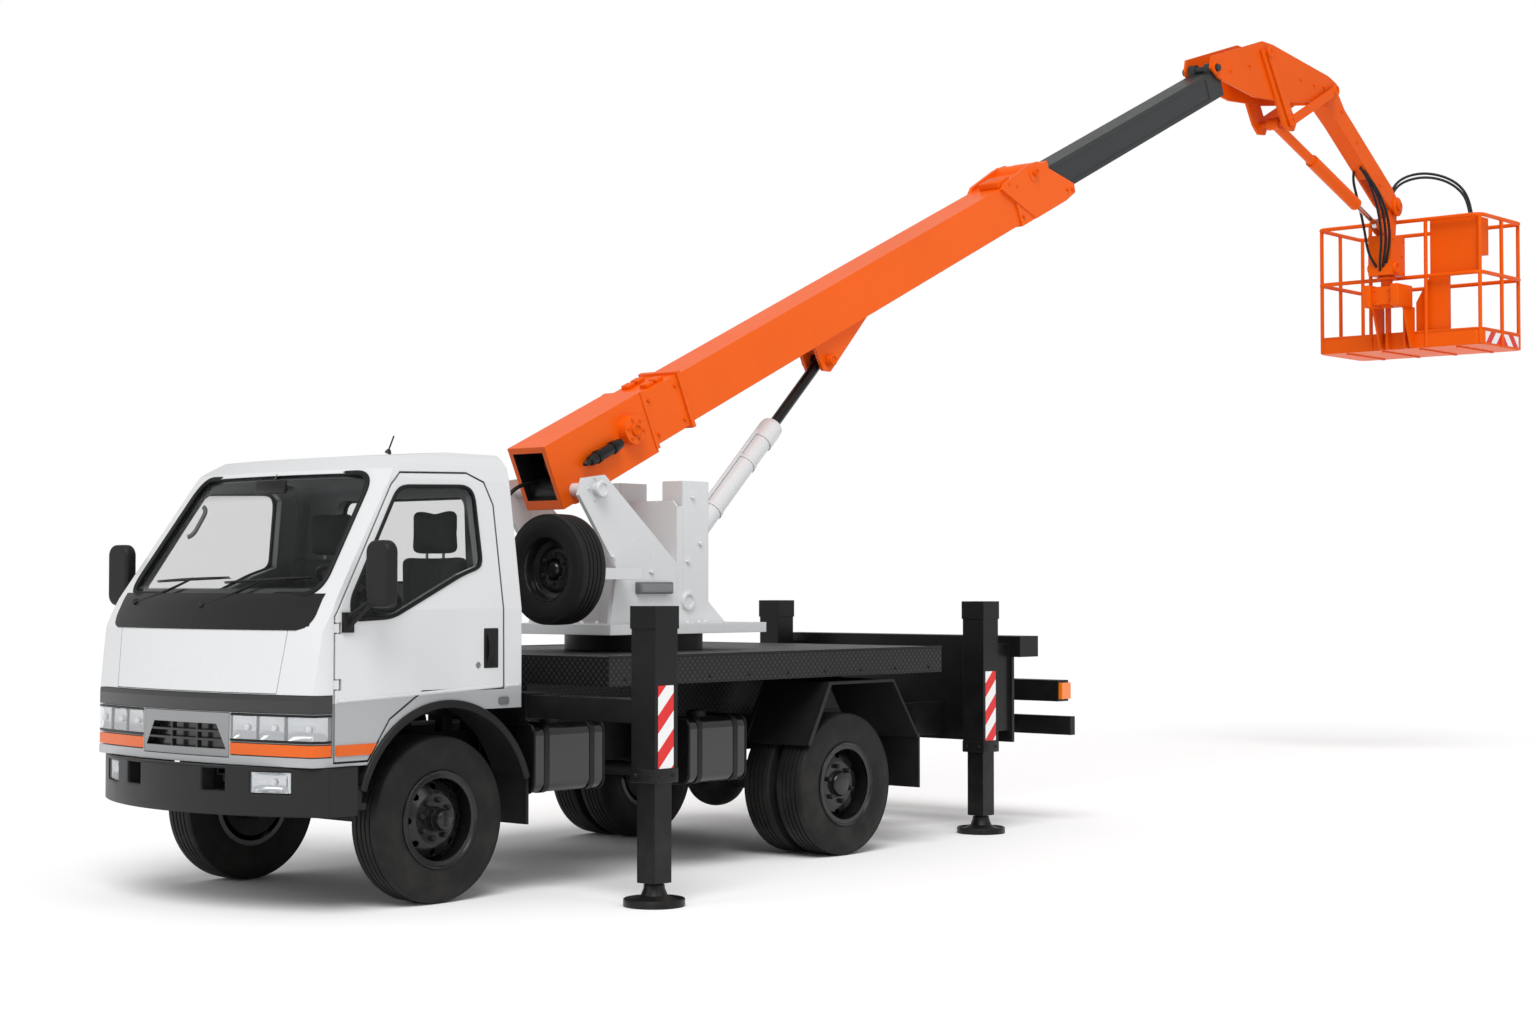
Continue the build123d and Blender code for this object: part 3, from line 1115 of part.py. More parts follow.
HEAD = (*HEAD_AT_BOOM[1:], *set_out(CROSS_TUBE_X, CROSS_TUBE_Z, HEAD_TOP),
        *set_out(KNUCKLE_X, KNUCKLE_Z, HEAD_AT_KNUCKLE), *set_out(CROSS_TUBE_X, CROSS_TUBE_Z, HEAD_FOOT),
        HEAD_AT_BOOM[0])
SWING = set_out(CROSS_TUBE_X, CROSS_TUBE_Z, SWING_CORNERS)
HEAD_IN = HEAD_PLATE_GAP / 2
HEAD_OUT = HEAD_IN + HEAD_PLATE
with BuildPart() as jib_head:
    for y0, y1 in both_sides(HEAD_IN, HEAD_OUT):
        extrude(outline(side_plane(y0), HEAD), amount=-(y1 - y0))
    for y0, y1 in both_sides(HEAD_OUT - 2, HEAD_OUT + HEAD_PLATE):
        extrude(outline(side_plane(y0), SWING), amount=-(y1 - y0))
    span_box((-9700, -8700), (-HEAD_IN, HEAD_IN), (5380, 5420))
    cross_pin(CROSS_TUBE_X, CROSS_TUBE_Z, JIB_PIN_R, -HEAD_OUT - 10, HEAD_OUT + 10)
    cross_pin(KNUCKLE_X, KNUCKLE_Z, JIB_PIN_R, -HEAD_OUT - 30, HEAD_OUT + 30)
    cross_pin(*HEAD_PIN, JIB_PIN_R + RUN_FIT, -HEAD_OUT - 40, HEAD_OUT + 40, mode=Mode.SUBTRACT)
write(jib_head, "jib_head")

# Jib arm
JIB_PLANE = link_plane((KNUCKLE_X, KNUCKLE_Z), (JIB_END_X, JIB_END_Z))
JIB_LENGTH = hypot(JIB_END_X - KNUCKLE_X, JIB_END_Z - KNUCKLE_Z)
JIB_FORK = 470
JIB_FORK_PLATE = 20
JIB_ROOT = ((-60, -60), (-40, 80), (140, 130), (320, 85), (320, -85), (60, -100))
JIB_CHEEK = ((JIB_LENGTH - JIB_FORK - 40, -JIB_HEIGHT / 2), (JIB_LENGTH - JIB_FORK - 40, JIB_HEIGHT / 2),
             (JIB_LENGTH - 150, JIB_HEIGHT / 2), (JIB_LENGTH, 60), (JIB_LENGTH, -60),
             (JIB_LENGTH - 150, -JIB_HEIGHT / 2))
with BuildPart(JIB_PLANE) as jib_arm:
    half = JIB_WIDTH / 2
    span_box((70, JIB_LENGTH - JIB_FORK), (-JIB_HEIGHT / 2, JIB_HEIGHT / 2), (-half, half))
    extrude(outline(JIB_PLANE.offset(-half), JIB_ROOT), amount=JIB_WIDTH)
    for w0, w1 in both_sides(half - JIB_FORK_PLATE, half):
        extrude(outline(JIB_PLANE.offset(w0), JIB_CHEEK), amount=w1 - w0)
        extrude(disc(JIB_PLANE.offset(w0), (JIB_LENGTH, 0), 60), amount=w1 - w0)
    cross_pin(JIB_END_X, JIB_END_Z, JIB_PIN_R, -half - 25, half + 25)
    cross_pin(KNUCKLE_X, KNUCKLE_Z, JIB_PIN_R + RUN_FIT, -half - 5, half + 5, mode=Mode.SUBTRACT)
write(jib_arm, "jib_arm")

# Levelling cylinder under the jib
LEVEL_PLANE = link_plane((CROSS_TUBE_X, CROSS_TUBE_Z), (LEVEL_END_X, LEVEL_END_Z))
LEVEL_LENGTH = hypot(LEVEL_END_X - CROSS_TUBE_X, LEVEL_END_Z - CROSS_TUBE_Z)
with BuildPart() as level_barrel:
    cross_pin(CROSS_TUBE_X, CROSS_TUBE_Z, 48, -50, 50)
    extrude(along_disc(LEVEL_PLANE, 25, 38), amount=700)
    extrude(along_disc(LEVEL_PLANE, 640, 52), amount=LEVEL_LENGTH - 640 - 380)
    extrude(along_disc(LEVEL_PLANE, 300, 20.4), amount=LEVEL_LENGTH, mode=Mode.SUBTRACT)
    cross_pin(CROSS_TUBE_X, CROSS_TUBE_Z, JIB_PIN_R + RUN_FIT, -55, 55, mode=Mode.SUBTRACT)
write(level_barrel, "level_barrel")
with BuildPart() as level_rod:
    extrude(along_disc(LEVEL_PLANE, 900, 20), amount=LEVEL_LENGTH - 900 - 25)
    cross_pin(LEVEL_END_X, LEVEL_END_Z, 38, -20, 20)
    cross_pin(LEVEL_END_X, LEVEL_END_Z, 20, -25, 25, mode=Mode.SUBTRACT)
write(level_rod, "level_rod")

# Basket mount: hangs from the jib's end and carries the basket's turning post
POST_R = 48
MOUNT_LEG = 250
MOUNT_LEG_TOP_Z = 4395
with BuildPart() as basket_mount:
    web = JIB_WIDTH / 2 - 24
    shape = (
        (-11310, 4640), (-11280, 4720), (-11200, 4710), (-11130, 4545), (-10970, 4520), (-10955, 4450),
        (-11110, 4390), (-11120, 4060), (-11260, 4060), (-11275, 4400)
    )
    for y0, y1 in both_sides(web - 15, web):
        extrude(outline(side_plane(y0), shape), amount=-(y1 - y0))
    cross_pin(JIB_END_X, JIB_END_Z, 50, -web, web)
    span_box((MOUNT_X - MOUNT_LEG / 2, MOUNT_X + MOUNT_LEG / 2), (-MOUNT_LEG / 2 + 20, MOUNT_LEG / 2 - 20),
             (4062, MOUNT_LEG_TOP_Z))
    extrude(disc(Plane.XY.offset(MOUNT_LOW_Z), (MOUNT_X, 0), POST_R), amount=4100 - MOUNT_LOW_Z)
    cross_pin(JIB_END_X, JIB_END_Z, JIB_PIN_R + RUN_FIT, -web - 5, web + 5, mode=Mode.SUBTRACT)
write(basket_mount, "basket_mount")

# Basket: a tray with rounded corners, posts and two round rails, with the block that turns on the post
BASKET_REAR_X = BASKET_FRONT_X - BASKET_LENGTH
BASKET_MID_X = BASKET_FRONT_X - BASKET_LENGTH / 2
BASKET_TOP_Z = BASKET_LOW_Z + BASKET_HEIGHT
MID_RAIL_Z = BASKET_LOW_Z + 600
TOE_THICK = 8
FLOOR_THICK = 12
CORNER_IN = BASKET_CORNER_R * (1 - cos(radians(45)))
POST_ROWS = ((0, 0.34), (0, -0.34), (BASKET_LENGTH, 0), (BASKET_LENGTH / 2, 1), (BASKET_LENGTH / 2, -1))


def basket_plan(level, width_in):
    """The basket's plan with its rounded corners, taken in on every side."""
    with BuildSketch(Plane.XY.offset(level)) as plan:
        with Locations((BASKET_MID_X, 0)):
            RectangleRounded(
                BASKET_LENGTH - 2 * width_in, 2 * (BASKET_HALF_WIDTH - width_in), BASKET_CORNER_R - width_in
            )
    return plan.sketch


def basket_post(x, y):
    """A round post from the tray's floor to the top rail."""
    extrude(disc(Plane.XY.offset(BASKET_LOW_Z + 5), (x, y), RAIL_R - 1), amount=BASKET_HEIGHT - RAIL_R - 5)


with BuildPart() as basket:
    extrude(basket_plan(BASKET_LOW_Z, 0), amount=TOE_HEIGHT)
    extrude(basket_plan(BASKET_LOW_Z + FLOOR_THICK, TOE_THICK), amount=TOE_HEIGHT, mode=Mode.SUBTRACT)
    for level in (MID_RAIL_Z, BASKET_TOP_Z - RAIL_R):
        rail_start = Plane(origin=(BASKET_MID_X, BASKET_HALF_WIDTH, level), z_dir=(1, 0, 0))
        sweep(disc(rail_start, (0, 0), RAIL_R), path=basket_plan(level, 0).wire())
    for back, across in POST_ROWS:
        basket_post(BASKET_FRONT_X - back, across * BASKET_HALF_WIDTH)
    for x in (BASKET_FRONT_X - CORNER_IN, BASKET_REAR_X + CORNER_IN):
        for y in (-BASKET_HALF_WIDTH + CORNER_IN, BASKET_HALF_WIDTH - CORNER_IN):
            basket_post(x, y)
    span_box((BASKET_FRONT_X - 10, MOUNT_X + 90), (-90, 90), (MOUNT_LOW_Z + 20, MOUNT_LOW_Z + 170))
    for y0, y1 in both_sides(70, 90):
        span_box((BASKET_FRONT_X - 10, BASKET_FRONT_X + 60), (y0, y1), (BASKET_LOW_Z, MOUNT_LOW_Z + 40))
    extrude(
        disc(Plane.XY.offset(BASKET_LOW_Z), (MOUNT_X, 0), POST_R + RUN_FIT), amount=BASKET_HEIGHT,
        mode=Mode.SUBTRACT
    )
write(basket, "basket")

# Control console: a stepped upright panel behind the front rails, on the tray's floor, with the control box
# on it
CONSOLE_X = BASKET_FRONT_X - 45
CONSOLE_THICK = 45
CONSOLE_BOX_DEPTH = 190
CONSOLE = ((270, BASKET_TOP_Z - 10), (690, BASKET_TOP_Z - 10), (690, MID_RAIL_Z + 20), (430, MID_RAIL_Z - 5),
           (430, BASKET_LOW_Z + FLOOR_THICK), (140, BASKET_LOW_Z + FLOOR_THICK), (140, MID_RAIL_Z - 210),
           (270, MID_RAIL_Z + 10))
with BuildPart() as control_console:
    add(front_prism(CONSOLE, CONSOLE_X - CONSOLE_THICK, CONSOLE_X))
    span_box((CONSOLE_X - CONSOLE_THICK - CONSOLE_BOX_DEPTH, CONSOLE_X - CONSOLE_THICK + 1), (470, 680),
             (BASKET_TOP_Z - 330, BASKET_TOP_Z - 20))
write(control_console, "control_console")
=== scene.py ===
"""Looks of a small cherry picker truck: finishes for its CAD pieces, and the pieces that only show.

Sizes are in metres from the middle of the front axle on the ground, X forward, Y to the left and Z up.
"""

from __future__ import annotations

import logging
import math
from dataclasses import dataclass
from enum import Enum
from functools import cache

import bmesh
import bpy
import numpy as np
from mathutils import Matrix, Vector


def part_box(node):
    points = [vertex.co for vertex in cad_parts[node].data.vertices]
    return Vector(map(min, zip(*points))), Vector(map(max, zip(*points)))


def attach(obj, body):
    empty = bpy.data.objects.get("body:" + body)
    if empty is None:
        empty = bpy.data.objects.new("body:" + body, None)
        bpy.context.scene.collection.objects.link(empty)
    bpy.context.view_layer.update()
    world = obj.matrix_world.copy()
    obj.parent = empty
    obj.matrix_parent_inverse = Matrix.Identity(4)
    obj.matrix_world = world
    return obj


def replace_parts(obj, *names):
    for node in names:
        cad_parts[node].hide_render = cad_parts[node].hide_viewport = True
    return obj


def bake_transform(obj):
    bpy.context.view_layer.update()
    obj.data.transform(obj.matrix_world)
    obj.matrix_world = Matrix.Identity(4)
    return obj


LOG = logging.getLogger("cherry_picker")
Array = np.ndarray
Colour = tuple[float, float, float]
Point = tuple[float, float, float]

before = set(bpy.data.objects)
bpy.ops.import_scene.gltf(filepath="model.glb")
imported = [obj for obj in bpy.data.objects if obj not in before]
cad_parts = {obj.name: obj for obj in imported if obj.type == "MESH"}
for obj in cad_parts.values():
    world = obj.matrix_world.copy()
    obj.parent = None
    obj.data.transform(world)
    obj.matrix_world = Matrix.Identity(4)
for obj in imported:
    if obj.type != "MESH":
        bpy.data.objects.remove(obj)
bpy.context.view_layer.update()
AXLE_X = sum(corner.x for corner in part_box("front_tyre_left")) / 2


class Side(Enum):
    """The two sides of the truck, with the sign of Y there."""

    LEFT = 1
    RIGHT = -1

    @property
    def word(self) -> str:
        """The side's name as node and body names have it."""
        return self.name.lower()


# Shader boards


class Wire:
    """A shader socket whose Python operators add Math nodes."""

    def __init__(self, board: Board, socket: bpy.types.NodeSocket) -> None:
        """Keeps the socket with its board."""
        self.board = board
        self.socket = socket

    def math(self, operation: str, *others: Wire | float) -> Wire:
        """A Math node on this value and the others."""
        return self.board.node("ShaderNodeMath", {"operation": operation}, dict(enumerate((self, *others))))

    def __add__(self, other: Wire | float) -> Wire:
        """Sum."""
        return self.math("ADD", other)

    def __sub__(self, other: Wire | float) -> Wire:
        """Difference."""
        return self.math("SUBTRACT", other)

    def __rsub__(self, other: float) -> Wire:
        """A number less this value."""
        return self.board.node("ShaderNodeMath", {"operation": "SUBTRACT"}, {0: other, 1: self})

    def __mul__(self, other: Wire | float) -> Wire:
        """Product."""
        return self.math("MULTIPLY", other)

    def __truediv__(self, other: Wire | float) -> Wire:
        """Quotient."""
        return self.math("DIVIDE", other)

    def __gt__(self, other: Wire | float) -> Wire:
        """1 where this value is larger, else 0."""
        return self.math("GREATER_THAN", other)

    def __lt__(self, other: Wire | float) -> Wire:
        """1 where this value is smaller, else 0."""
        return self.math("LESS_THAN", other)

    def __abs__(self) -> Wire:
        """Size without sign."""
        return self.math("ABSOLUTE")

    __radd__ = __add__
    __rmul__ = __mul__

    def soft(self, low: float, high: float) -> Wire:
        """A smooth step from 0 at low to 1 at high."""
        settings = {"interpolation_type": "SMOOTHSTEP"}
        return self.board.node(
            "ShaderNodeMapRange", settings, {"Value": self, "From Min": low, "From Max": high}
        )

    def wave(self, period: float) -> Wire:
        """A triangle wave from 0 to 1 and back in each period."""
        return self.math("PINGPONG", period / 2) / (period / 2)


class Board:
    """The nodes of one material."""

    def __init__(self, name: str) -> None:
        """Starts an empty material of that name."""
        self.material = bpy.data.materials.new(name)
        self.material.use_nodes = True
        self.tree = self.material.node_tree
        self.tree.nodes.clear()

    def add(self, kind: str, settings: dict | None = None, inputs: dict | None = None) -> bpy.types.Node:
        """Adds any node.

        Args:
            kind: the node's type.
            settings: properties that are set first.
            inputs: values or wires by socket name or number.

        Returns:
            The node.
        """
        node = self.tree.nodes.new(kind)
        for key, value in (settings or {}).items():
            setattr(node, key, value)
        for key, value in (inputs or {}).items():
            if isinstance(value, Wire):
                self.tree.links.new(value.socket, node.inputs[key])
            else:
                node.inputs[key].default_value = value
        return node

    def node(
        self, kind: str, settings: dict | None = None, inputs: dict | None = None, output: int | str = 0
    ) -> Wire:
        """Adds any node and gives the wire from one of its outputs."""
        return Wire(self, self.add(kind, settings, inputs).outputs[output])

    def place(self) -> Wire:
        """Object coordinates, which are the frame's own metres."""
        return self.node("ShaderNodeTexCoord", output="Object")

    def split(self, vector: Wire) -> tuple[Wire, Wire, Wire]:
        """The three numbers of a vector."""
        x, y, z = self.add("ShaderNodeSeparateXYZ", None, {0: vector}).outputs
        return Wire(self, x), Wire(self, y), Wire(self, z)

    def axes(self) -> tuple[Wire, Wire, Wire]:
        """X, Y and Z in metres from the front axle."""
        x, y, z = self.split(self.place())
        return x - AXLE_X, y, z

    def facing(self) -> tuple[Wire, Wire, Wire]:
        """The surface's direction in the object's own axes."""
        return self.split(self.node("ShaderNodeTexCoord", output="Normal"))

    def noise(self, scale: float, detail: float = 3.0) -> Wire:
        """Cloudy values from 0 to 1 with that many clouds in a metre."""
        return self.node(
            "ShaderNodeTexNoise", None, {"Vector": self.place(), "Scale": scale, "Detail": detail}
        )

    def mix(self, share: Wire | float, first: Wire | Colour, second: Wire | Colour) -> Wire:
        """A colour between two colours."""
        ends = [c if isinstance(c, Wire) else (*c, 1.0) for c in (first, second)]
        return self.node("ShaderNodeMix", {"data_type": "RGBA"}, {0: share, 6: ends[0], 7: ends[1]}, 2)


# Finishes


@dataclass(frozen=True)
class Finish:
    """A painted, moulded or cast surface: its colour, gloss, clouds and grain."""

    name: str
    colour: Colour
    roughness: float = 0.35
    metallic: float = 0.0
    coat: float = 0.0
    mottle: float = 0.06
    grain_scale: float = 260.0
    grain: float = 0.0001
    edge: float = 0.006
    alpha: float = 1.0
    dust: float = 0.0
    specular: float = 0.5

    def tint(self, board: Board) -> Wire:
        """The colour with slow clouds, and with dust that thickens towards the ground."""
        dark = tuple(c * (1 - 2 * self.mottle) for c in self.colour)
        base = board.mix(board.noise(2.4, 6.0), self.colour, dark)
        if not self.dust:
            return base
        height = board.axes()[2]
        share = (1.0 - height.soft(0.0, 1.3)) * board.noise(9.0, 8.0).soft(0.35, 0.75) * self.dust
        return board.mix(share, base, (0.23, 0.21, 0.18))

    def relief(self, board: Board) -> Wire:
        """The height of the grain, in metres."""
        return board.noise(self.grain_scale, 2.0) * self.grain

    def gloss(self, board: Board) -> Wire:
        """Roughness that changes with smears and fine wear."""
        return board.noise(6.0, 8.0) * 0.14 + max(self.roughness - 0.07, 0.01)

    def constants(self) -> dict[str, float]:
        """Values that are the same all over the surface."""
        return {"Metallic": self.metallic, "Coat Weight": self.coat, "Coat Roughness": 0.08,
                "Specular IOR Level": self.specular}

    def cover(self, board: Board) -> Wire | float:
        """How much of what lies behind the surface it hides."""
        return self.alpha

    @cache
    def material(self) -> bpy.types.Material:
        """The material, made at its first use.

        Returns:
            A Principled surface with the grain over a normal that rounds its edges.
        """
        board = Board(self.name)
        rounded = board.node("ShaderNodeBevel", {"samples": 4}, {"Radius": self.edge})
        bump = board.node(
            "ShaderNodeBump", None, {"Distance": 1.0, "Height": self.relief(board), "Normal": rounded}
        )
        inputs = {
            "Base Color": self.tint(board), "Roughness": self.gloss(board), "Normal": bump,
            **self.constants()
        }
        if self.alpha < 1:
            inputs["Alpha"] = self.cover(board)
        surface = board.node("ShaderNodeBsdfPrincipled", None, inputs)
        board.add("ShaderNodeOutputMaterial", None, {"Surface": surface})
        return board.material


@dataclass(frozen=True)
class CabPaint(Finish):
    """Gloss white outside, a silver-grey band low on the sides, grey plastic inside, black underneath, and
    painted shade: black on the back wall behind the grille bars.
    """

    band: Colour = (0.36, 0.37, 0.38)
    lining: Colour = (0.20, 0.205, 0.21)
    under: Colour = (0.02, 0.02, 0.021)
    band_top: float = 0.972
    band_fall: float = 0.037
    centre: Point = (0.15, 0.0, 1.45)
    arch: tuple[float, float] = (0.40, 0.536)

    def tint(self, board: Board) -> Wire:
        """Paint by height, lining where the surface faces the cab's middle, black in the arches and below, and
        painted shade: black on the back wall behind the grille bars, where there is only shadow."""
        x, y, z = board.axes()
        nx, ny, nz = board.facing()
        paint = board.mix(z + x * self.band_fall < self.band_top, Finish.tint(self, board), self.band)
        away = nx * (x - self.centre[0]) + ny * (y - self.centre[1]) + nz * (z - self.centre[2])
        lined = board.mix(away < -0.02, paint, self.lining)
        rise = z - self.arch[0]
        in_arch = (x * x + rise * rise < (self.arch[1] + 0.012) ** 2) * (abs(ny) < 0.5)
        below = (nz < -0.6) * (z < 0.95)
        # Painted shade: the recess behind the grille bars is made black instead of lit white.
        intake = (x > 0.72) * (abs(y) < 0.318) * (z > 0.705) * (z < 0.893)
        return board.mix(in_arch.math("MAXIMUM", below).math("MAXIMUM", intake), lined, self.under)


@dataclass(frozen=True)
class GrillePanel(Finish):
    """A silver-grey panel with a black trapezoid opening, under a black strip."""

    black: Colour = (0.016, 0.016, 0.017)
    foot: tuple[float, float] = (0.300, 0.735)
    head: tuple[float, float] = (0.235, 0.845)
    strip_low: float = 0.900

    def tint(self, board: Board) -> Wire:
        """Black inside the trapezoid and on the strip, silver-grey elsewhere."""
        _, y, z = board.axes()
        slope = (self.foot[0] - self.head[0]) / (self.head[1] - self.foot[1])
        reach = (z - self.foot[1]) * slope + abs(y)
        inside = (reach < self.foot[0] + 0.001) * (z > self.foot[1] - 0.001) * (z < self.head[1] + 0.001)
        return board.mix(inside.math("MAXIMUM", z > self.strip_low), Finish.tint(self, board), self.black)


@dataclass(frozen=True)
class TreadPlate(Finish):
    """Black steel sheet with raised lozenges, turned left and right in turn."""

    pitch: float = 0.052
    rise: float = 0.0035

    def tint(self, board: Board) -> Wire:
        """Paint that is rubbed paler on the lozenges."""
        return board.mix(self.lozenges(board) * 0.5, Finish.tint(self, board), (0.07, 0.07, 0.072))

    def relief(self, board: Board) -> Wire:
        """The lozenges over the paint's grain."""
        return self.lozenges(board) * self.rise + Finish.relief(self, board)

    def lozenges(self, board: Board) -> Wire:
        """Two sets of ellipses on crossed grids, the second set between the first, as a mask."""
        x, y, z = board.axes()
        nx, _, nz = board.facing()
        on_end = abs(nx) > 0.5
        on_top = abs(nz) > 0.5
        first = x * (1.0 - on_end) + y * on_end
        second = z * (1.0 - on_top) + y * on_top
        along = (first + second) * math.sqrt(0.5)
        across = (first - second) * math.sqrt(0.5)
        height = None
        for u, v, shift in ((along, across, 0.0), (across, along, self.pitch / 2)):
            long = (u + shift).wave(self.pitch) - 0.5
            short = (v + shift).wave(self.pitch) - 0.5
            bump = 1.0 - (long * long * 5.2 + short * short * 60.0)
            mound = bump.soft(0.0, 0.55)
            height = mound if height is None else height.math("MAXIMUM", mound)
        return height


@dataclass(frozen=True)
class Stripes(Finish):
    """Red and white reflective bands that rise at 45 degrees."""

    red: Colour = (0.66, 0.008, 0.010)
    period: float = 0.165
    lean: float = 1.0

    def tint(self, board: Board) -> Wire:
        """Red or white by the sum of height and the distance along the plate."""
        x, y, z = board.axes()
        phase = (x * self.lean + z) / self.period
        return board.mix(phase.math("FRACT") > 0.5, Finish.tint(self, board), self.red)

    def relief(self, board: Board) -> Wire:
        """The fine honeycomb of reflective sheet."""
        return board.node("ShaderNodeTexVoronoi", None, {"Vector": board.place(), "Scale": 260.0}) * 0.0002


@dataclass(frozen=True)
class Chevrons(Stripes):
    """Red and white bands that rise to both ends from the middle of the basket."""

    middle: float = -11.800
    period: float = 0.200

    def tint(self, board: Board) -> Wire:
        """Red or white by the sum of height and the distance from the middle."""
        x, _, z = board.axes()
        phase = (abs(x - self.middle) + z) / self.period
        return board.mix(phase.math("FRACT") > 0.5, Finish.tint(self, board), self.red)


@dataclass(frozen=True)
class BoomPaint(Finish):
    """Orange outside, and black inside the hollow box as painted shade."""

    pivot: tuple[float, float] = (-1.500, 1.975)
    angle: float = math.radians(24.65)
    hollow: tuple[float, float, float] = (0.1117, -0.0128, 0.2568)

    def tint(self, board: Board) -> Wire:
        """Painted shade: black where the point lies inside the box's wall, by its distance across the boom."""
        x, y, z = board.axes()
        v = (x - self.pivot[0]) * math.sin(self.angle) + (z - self.pivot[1]) * math.cos(self.angle)
        inside = (abs(y) < self.hollow[0]) * (v > self.hollow[1]) * (v < self.hollow[2])
        # Painted shade: the inside of the hollow box is made black where shadow falls.
        return board.mix(inside, Finish.tint(self, board), (0.010, 0.010, 0.010))


@dataclass(frozen=True)
class ScreenGlass(Finish):
    """Windscreen glass with a black printed border and a shaded band at its head."""

    foot: tuple[float, float] = (0.720, 1.428)
    head: tuple[float, float] = (0.636, 1.988)
    border: tuple[float, float] = (0.020, 0.034)

    def cover(self, board: Board) -> Wire:
        """Clear in the middle, black by the distance to the nearest rim, half dark towards the head."""
        x, y, z = board.axes()
        slope = (self.foot[0] - self.head[0]) / (self.head[1] - self.foot[1])
        aside = (z - self.foot[1]) * -slope + self.foot[0] - abs(y)
        inset = aside.math("MINIMUM", z - self.foot[1]).math("MINIMUM", self.head[1] - z)
        rim = (1.0 - inset.soft(*self.border)) * (x > 0.0)
        band = z.soft(1.86, 1.975) * (x > 0.0) * 0.5 + self.alpha
        return rim.math("MAXIMUM", band)


@dataclass(frozen=True)
class Lens(Finish):
    """Moulded lamp plastic with upright flutes."""

    flute: float = 0.010
    depth: float = 0.0007
    glow: float = 0.0

    def relief(self, board: Board) -> Wire:
        """A row of round flutes along X and Y together."""
        x, y, _ = board.axes()
        ridge = (x + y).wave(self.flute)
        return ridge * (2.0 - ridge) * self.depth

    def constants(self) -> dict[str, float]:
        """A little light of its own stands for what shines through."""
        return {
            **Finish.constants(self), "Emission Strength": self.glow, "Emission Color": (*self.colour, 1.0)
        }


@dataclass(frozen=True)
class TailLens(Lens):
    """Red lamp plastic with amber at the bar's ends."""

    amber: Colour = (0.85, 0.20, 0.004)
    end_y: float = 0.87

    def tint(self, board: Board) -> Wire:
        """Amber past the bar's ends and in the outer third of each lamp."""
        y = abs(board.axes()[1])
        outer = (y > 0.745) * (y < 0.857)
        return board.mix((y > self.end_y).math("MAXIMUM", outer), Finish.tint(self, board), self.amber)


@dataclass(frozen=True)
class Cloth(Finish):
    """Woven seat cloth."""

    thread: float = 0.0026

    def relief(self, board: Board) -> Wire:
        """Warp and weft as two triangle waves, the higher one on top."""
        x, y, z = board.axes()
        warp = y.wave(self.thread)
        weft = (x + z).wave(self.thread)
        return warp.math("MAXIMUM", weft) * 0.0004


@dataclass(frozen=True)
class Tread(Finish):
    """Tyre rubber with fine cuts across its ribs and rings on its walls."""

    cuts: int = 110
    tread_share: tuple[float, float] = (0.36, 0.64)

    def relief(self, board: Board) -> Wire:
        """Slanted cuts along the turn, only on the tread, over the rubber's own grain."""
        u, v, _ = board.split(board.node("ShaderNodeUVMap", {"uv_map": "turn"}))
        on_tread = (v > self.tread_share[0]) * (v < self.tread_share[1])
        cut = (u * self.cuts + abs(v - 0.5) * 14.0).math("FRACT") < 0.16
        rings = v.wave(0.016) * (1.0 - on_tread) * 0.0003
        return rings - cut * on_tread * 0.0016 + Finish.relief(self, board)


WHITE = Finish("white_paint", (0.66, 0.67, 0.68), 0.26, coat=0.3, mottle=0.012, grain=0.00004)
CAB = CabPaint("cab_paint", (0.66, 0.67, 0.68), 0.24, coat=0.4, mottle=0.012, grain=0.00003)
ORANGE = Finish("orange_paint", (0.82, 0.104, 0.001), 0.40, mottle=0.06, grain=0.00006, specular=0.12)
BOOM = BoomPaint(
    "boom_paint", (0.88, 0.118, 0.002), 0.36, coat=0.06, mottle=0.05, grain=0.00006, specular=0.22
)
BOOM_GREY = Finish("dark_grey_paint", (0.030, 0.032, 0.034), 0.38, mottle=0.12, grain=0.00008, specular=0.35)
BLACK = Finish(
    "black_paint", (0.007, 0.007, 0.0075), 0.36, mottle=0.15, grain=0.00016, dust=0.05, specular=0.24
)
CHASSIS = Finish(
    "chassis_paint", (0.006, 0.006, 0.0065), 0.48, mottle=0.15, grain=0.0003, dust=0.08, specular=0.20
)
DECK = TreadPlate(
    "deck_tread_plate", (0.008, 0.008, 0.0085), 0.40, mottle=0.16, grain=0.0001, dust=0.03, specular=0.26
)
PLASTIC = Finish(
    "black_plastic", (0.010, 0.010, 0.0105), 0.48, mottle=0.10, grain_scale=900, grain=0.00022, dust=0.03,
    specular=0.26
)
BUMPER = Finish(
    "bumper_plastic", (0.010, 0.010, 0.0105), 0.42, mottle=0.10, grain_scale=900, grain=0.00018, edge=0.020,
    specular=0.34
)
SATIN = Finish("black_satin", (0.008, 0.008, 0.0085), 0.28, mottle=0.08, grain=0.00005, specular=0.32)
TANK = Finish(
    "tank_paint", (0.006, 0.006, 0.0065), 0.12, coat=0.5, mottle=0.08, grain=0.00006, edge=0.012,
    specular=0.40
)
GREY = Finish("grey_plastic", (0.13, 0.135, 0.14), 0.55, mottle=0.06, grain_scale=900, grain=0.00022)
GRILLE = GrillePanel("grille_panel", (0.24, 0.245, 0.25), 0.34, coat=0.3, mottle=0.02)
RIM = Finish(
    "rim_paint", (0.008, 0.008, 0.0085), 0.26, coat=0.25, mottle=0.10, grain=0.00012, dust=0.03,
    specular=0.32
)
STEEL = Finish("bolt_steel", (0.36, 0.36, 0.37), 0.34, metallic=1.0, mottle=0.12, grain=0.00008, edge=0.002)
CHROME = Finish("polished_rod", (0.62, 0.63, 0.65), 0.14, metallic=1.0, mottle=0.04, grain=0.00002)
